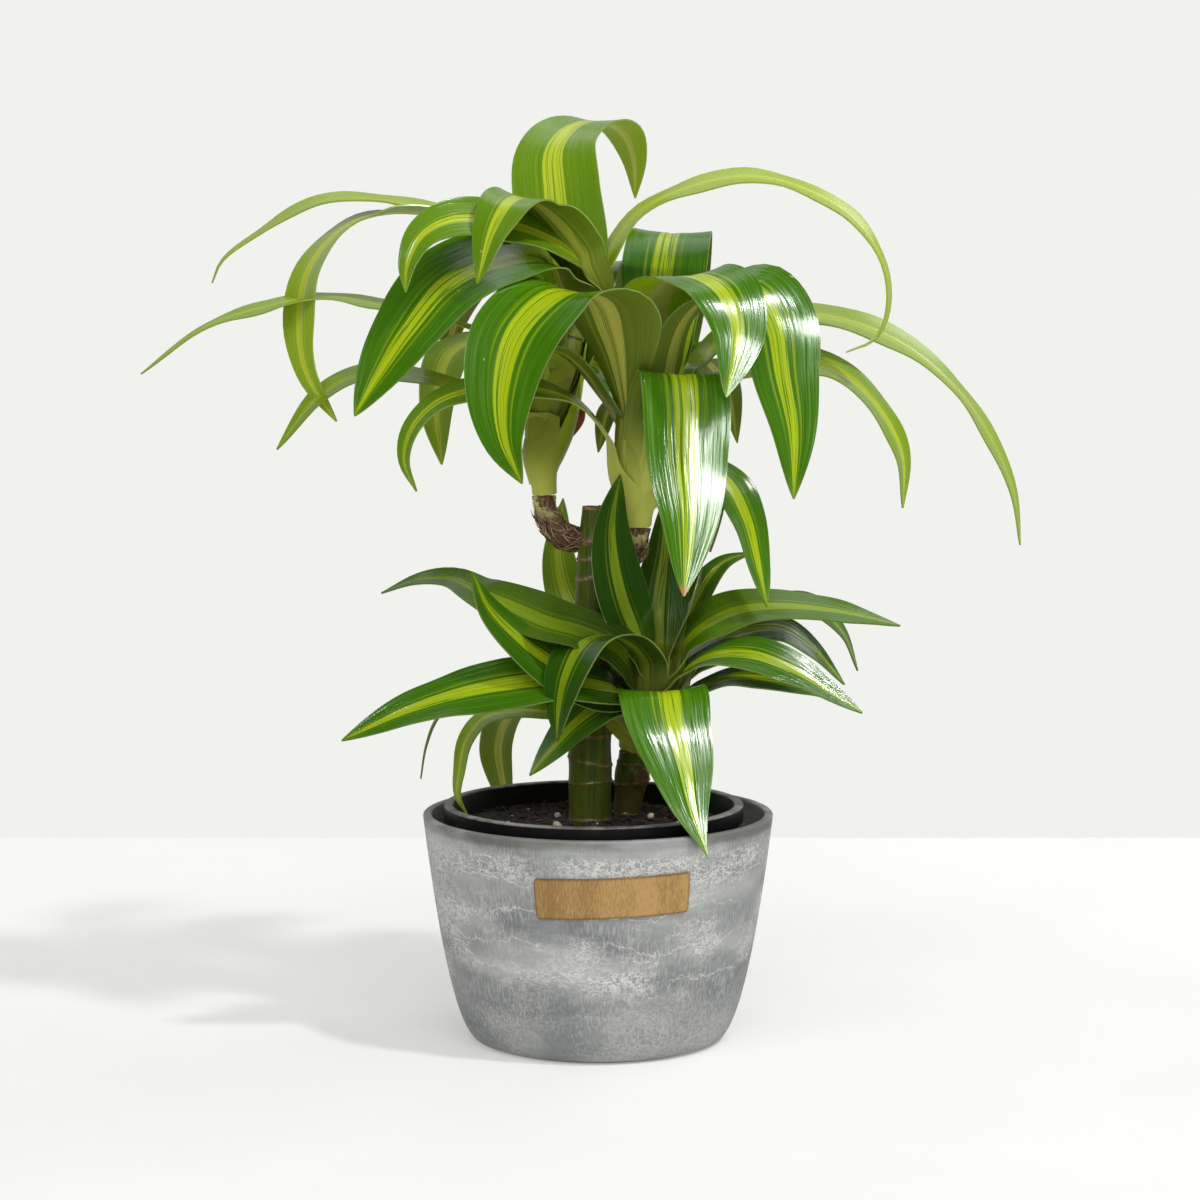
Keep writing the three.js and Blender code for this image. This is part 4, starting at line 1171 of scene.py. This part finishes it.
def makePlate():
    piece, across, high = gridPiece(110, 34)
    width, height, corner = plateShape["width"], plateShape["height"], plateShape["corner"]
    x = (across - 0.5) * width
    inCorner = np.maximum(np.abs(x) - (width / 2 - corner), 0)
    halfHeight = height / 2 - corner + np.sqrt(np.maximum(corner**2 - inCorner**2, 0))
    y = (2 * high - 1) * halfHeight
    tilt = math.radians(plateShape["tilt"])
    z = plateShape["middle"] + y * math.cos(tilt) + x * math.sin(tilt)
    around = x * math.cos(tilt) - y * math.sin(tilt)
    radius = planterRadius(z) + gap + plateShape["behind"] + plateShape["thickness"] / 2
    turn = math.radians(plateShape["turn"]) + around / planterRadius(plateShape["middle"])
    setPoints(piece, np.stack([radius * np.sin(turn), -radius * np.cos(turn), z], 1))
    nearEdge = np.minimum(width / 2 - np.abs(x), halfHeight - np.abs(y))
    setValue(piece, "rim", 1 - ease(nearEdge / plateShape["darkEdge"]))
    mergeDoubles(piece, False)
    applyModifier(piece, "SOLIDIFY", thickness=plateShape["thickness"] * mm, offset=0)
    applyModifier(piece, "BEVEL", width=plateShape["bevel"] * mm, segments=2, limit_method="ANGLE",
                  angle_limit=math.radians(50))
    smoothPiece(piece, 40)
    piece.name = piece.data.name = "brassPlate"
    giveLooks(piece, brassLook)
    finishPiece(piece, "brass", "brass_plate")


makePlate()
print("plate made")

studio = {
    "wallDistance": 0.575,  # metres, as are the lights' places and sizes
    "floorReach": 4.0,
    "cameraPlace": (0.001, -1.425, 0.3525),
    "cameraPitch": 84.8,
    "cameraLens": 85,
    "floorColor": (0.62, 0.62, 0.61),
    "floorShades": [(0.61, 0.61, 0.60), (0.63, 0.63, 0.62)],
    "floorGlow": [0.30, 0.40],  # near, and far behind the plant
    "lightTarget": (0, 0, 0.25),
    # name, place, width, height, power
    "lights": [
        ["keyLight", (1.88, -1.45, 3.41), 0.32, 0.32, 72],
        ["frontLight", (0.30, -2.60, 2.60), 2.4, 2.0, 38],
        ["leftLight", (-0.95, -1.30, 1.25), 0.5, 0.5, 4],
        ["backLight", (0.95, 0.65, 1.30), 0.6, 0.6, 3],
        ["shineLight", (0.10, -1.50, 1.26), 1.3, 0.26, 36],
        ["crestLight", (0.10, 0.60, 1.65), 1.3, 0.7, 1.8],
    ],
    "backdrop": (0.880, 0.888, 0.850),
    "fill": 0.42,
    "frontGloss": 0.0,  # what shiny surfaces see behind the camera, above and behind the plant
    "topGloss": 0.04,
    "backGloss": 0.48,
}


def makeStage():
    clearSelection()
    reach = studio["floorReach"]
    bpy.ops.mesh.primitive_grid_add(x_subdivisions=2, y_subdivisions=2, size=1)
    floor = bpy.context.object
    spots = getPoints(floor)
    depth = reach + studio["wallDistance"]
    spots = spots * [2 * reach, depth, 0] + [0, (studio["wallDistance"] - reach) / 2, 0]
    setPoints(floor, spots / mm)
    floor.name = floor.data.name = "floor"
    floorLook = newLook("floorLook", studio["floorColor"], 0.6, Specular_IOR_Level=0.2)
    grain = noise(objectPlace(), 6.0, 4.0)
    feed("Base Color", blendColor(fade(grain, 0.35, 0.65), *studio["floorShades"]))
    shader = floorLook.node_tree.nodes["Principled BSDF"]
    shader.inputs["Emission Color"].default_value = (1, 1, 0.96, 1)
    away = addNode("SeparateXYZ", {0: objectPlace()}).outputs[1]
    feed("Emission Strength", fade(away, -0.1, 0.55, *studio["floorGlow"]))
    floor.data.materials.append(floorLook)
    floor.visible_glossy = False


def makeLight(name, place, width, height, power):
    bpy.ops.object.light_add(type="AREA", location=place)
    light = bpy.context.object
    light.name = name
    light.data.shape = "RECTANGLE"
    light.data.size = width
    light.data.size_y = height
    light.data.energy = power
    light.visible_camera = False
    light.visible_diffuse = name not in ("shineLight", "crestLight")  # only seen in the leaves' shine
    light.visible_glossy = name not in ("frontLight", "leftLight")
    aim = np.array(studio["lightTarget"]) - np.array(place)
    pitch = math.acos(-aim[2] / np.linalg.norm(aim))
    light.rotation_euler = (pitch, 0, math.atan2(aim[0], -aim[1]) + math.pi)


def makeWorld():
    world = bpy.data.worlds.new("studioWorld")
    bpy.context.scene.world = world
    world.use_nodes = True
    looksMade.append(world)
    background = world.node_tree.nodes["Background"]
    ray = addNode("LightPath")
    way = addNode("SeparateXYZ", {0: addNode("TexCoord").outputs["Generated"]})
    glossy = fade(way.outputs[1], 0.1, 0.7, studio["frontGloss"], studio["backGloss"])
    glossy = most(glossy, fade(way.outputs[2], 0.5, 0.95, 0.0, studio["topGloss"]))
    fill = studio["fill"]
    light = blendColor(ray.outputs["Is Glossy Ray"], (fill, fill, fill * 0.98), glossy)
    light = blendColor(ray.outputs["Is Camera Ray"], light, studio["backdrop"])
    world.node_tree.links.new(light, background.inputs["Color"])


makeStage()
clearSelection()
for lightPlan in studio["lights"]:
    makeLight(*lightPlan)
makeWorld()

cameraTurn = (math.radians(studio["cameraPitch"]), 0, 0)
bpy.ops.object.camera_add(location=studio["cameraPlace"], rotation=cameraTurn)
camera = bpy.context.object
camera.data.lens = studio["cameraLens"]
camera.data.sensor_width = 36
bpy.context.scene.camera = camera
bpy.context.scene.view_settings.view_transform = "Standard"
print("stage, lights and camera made")
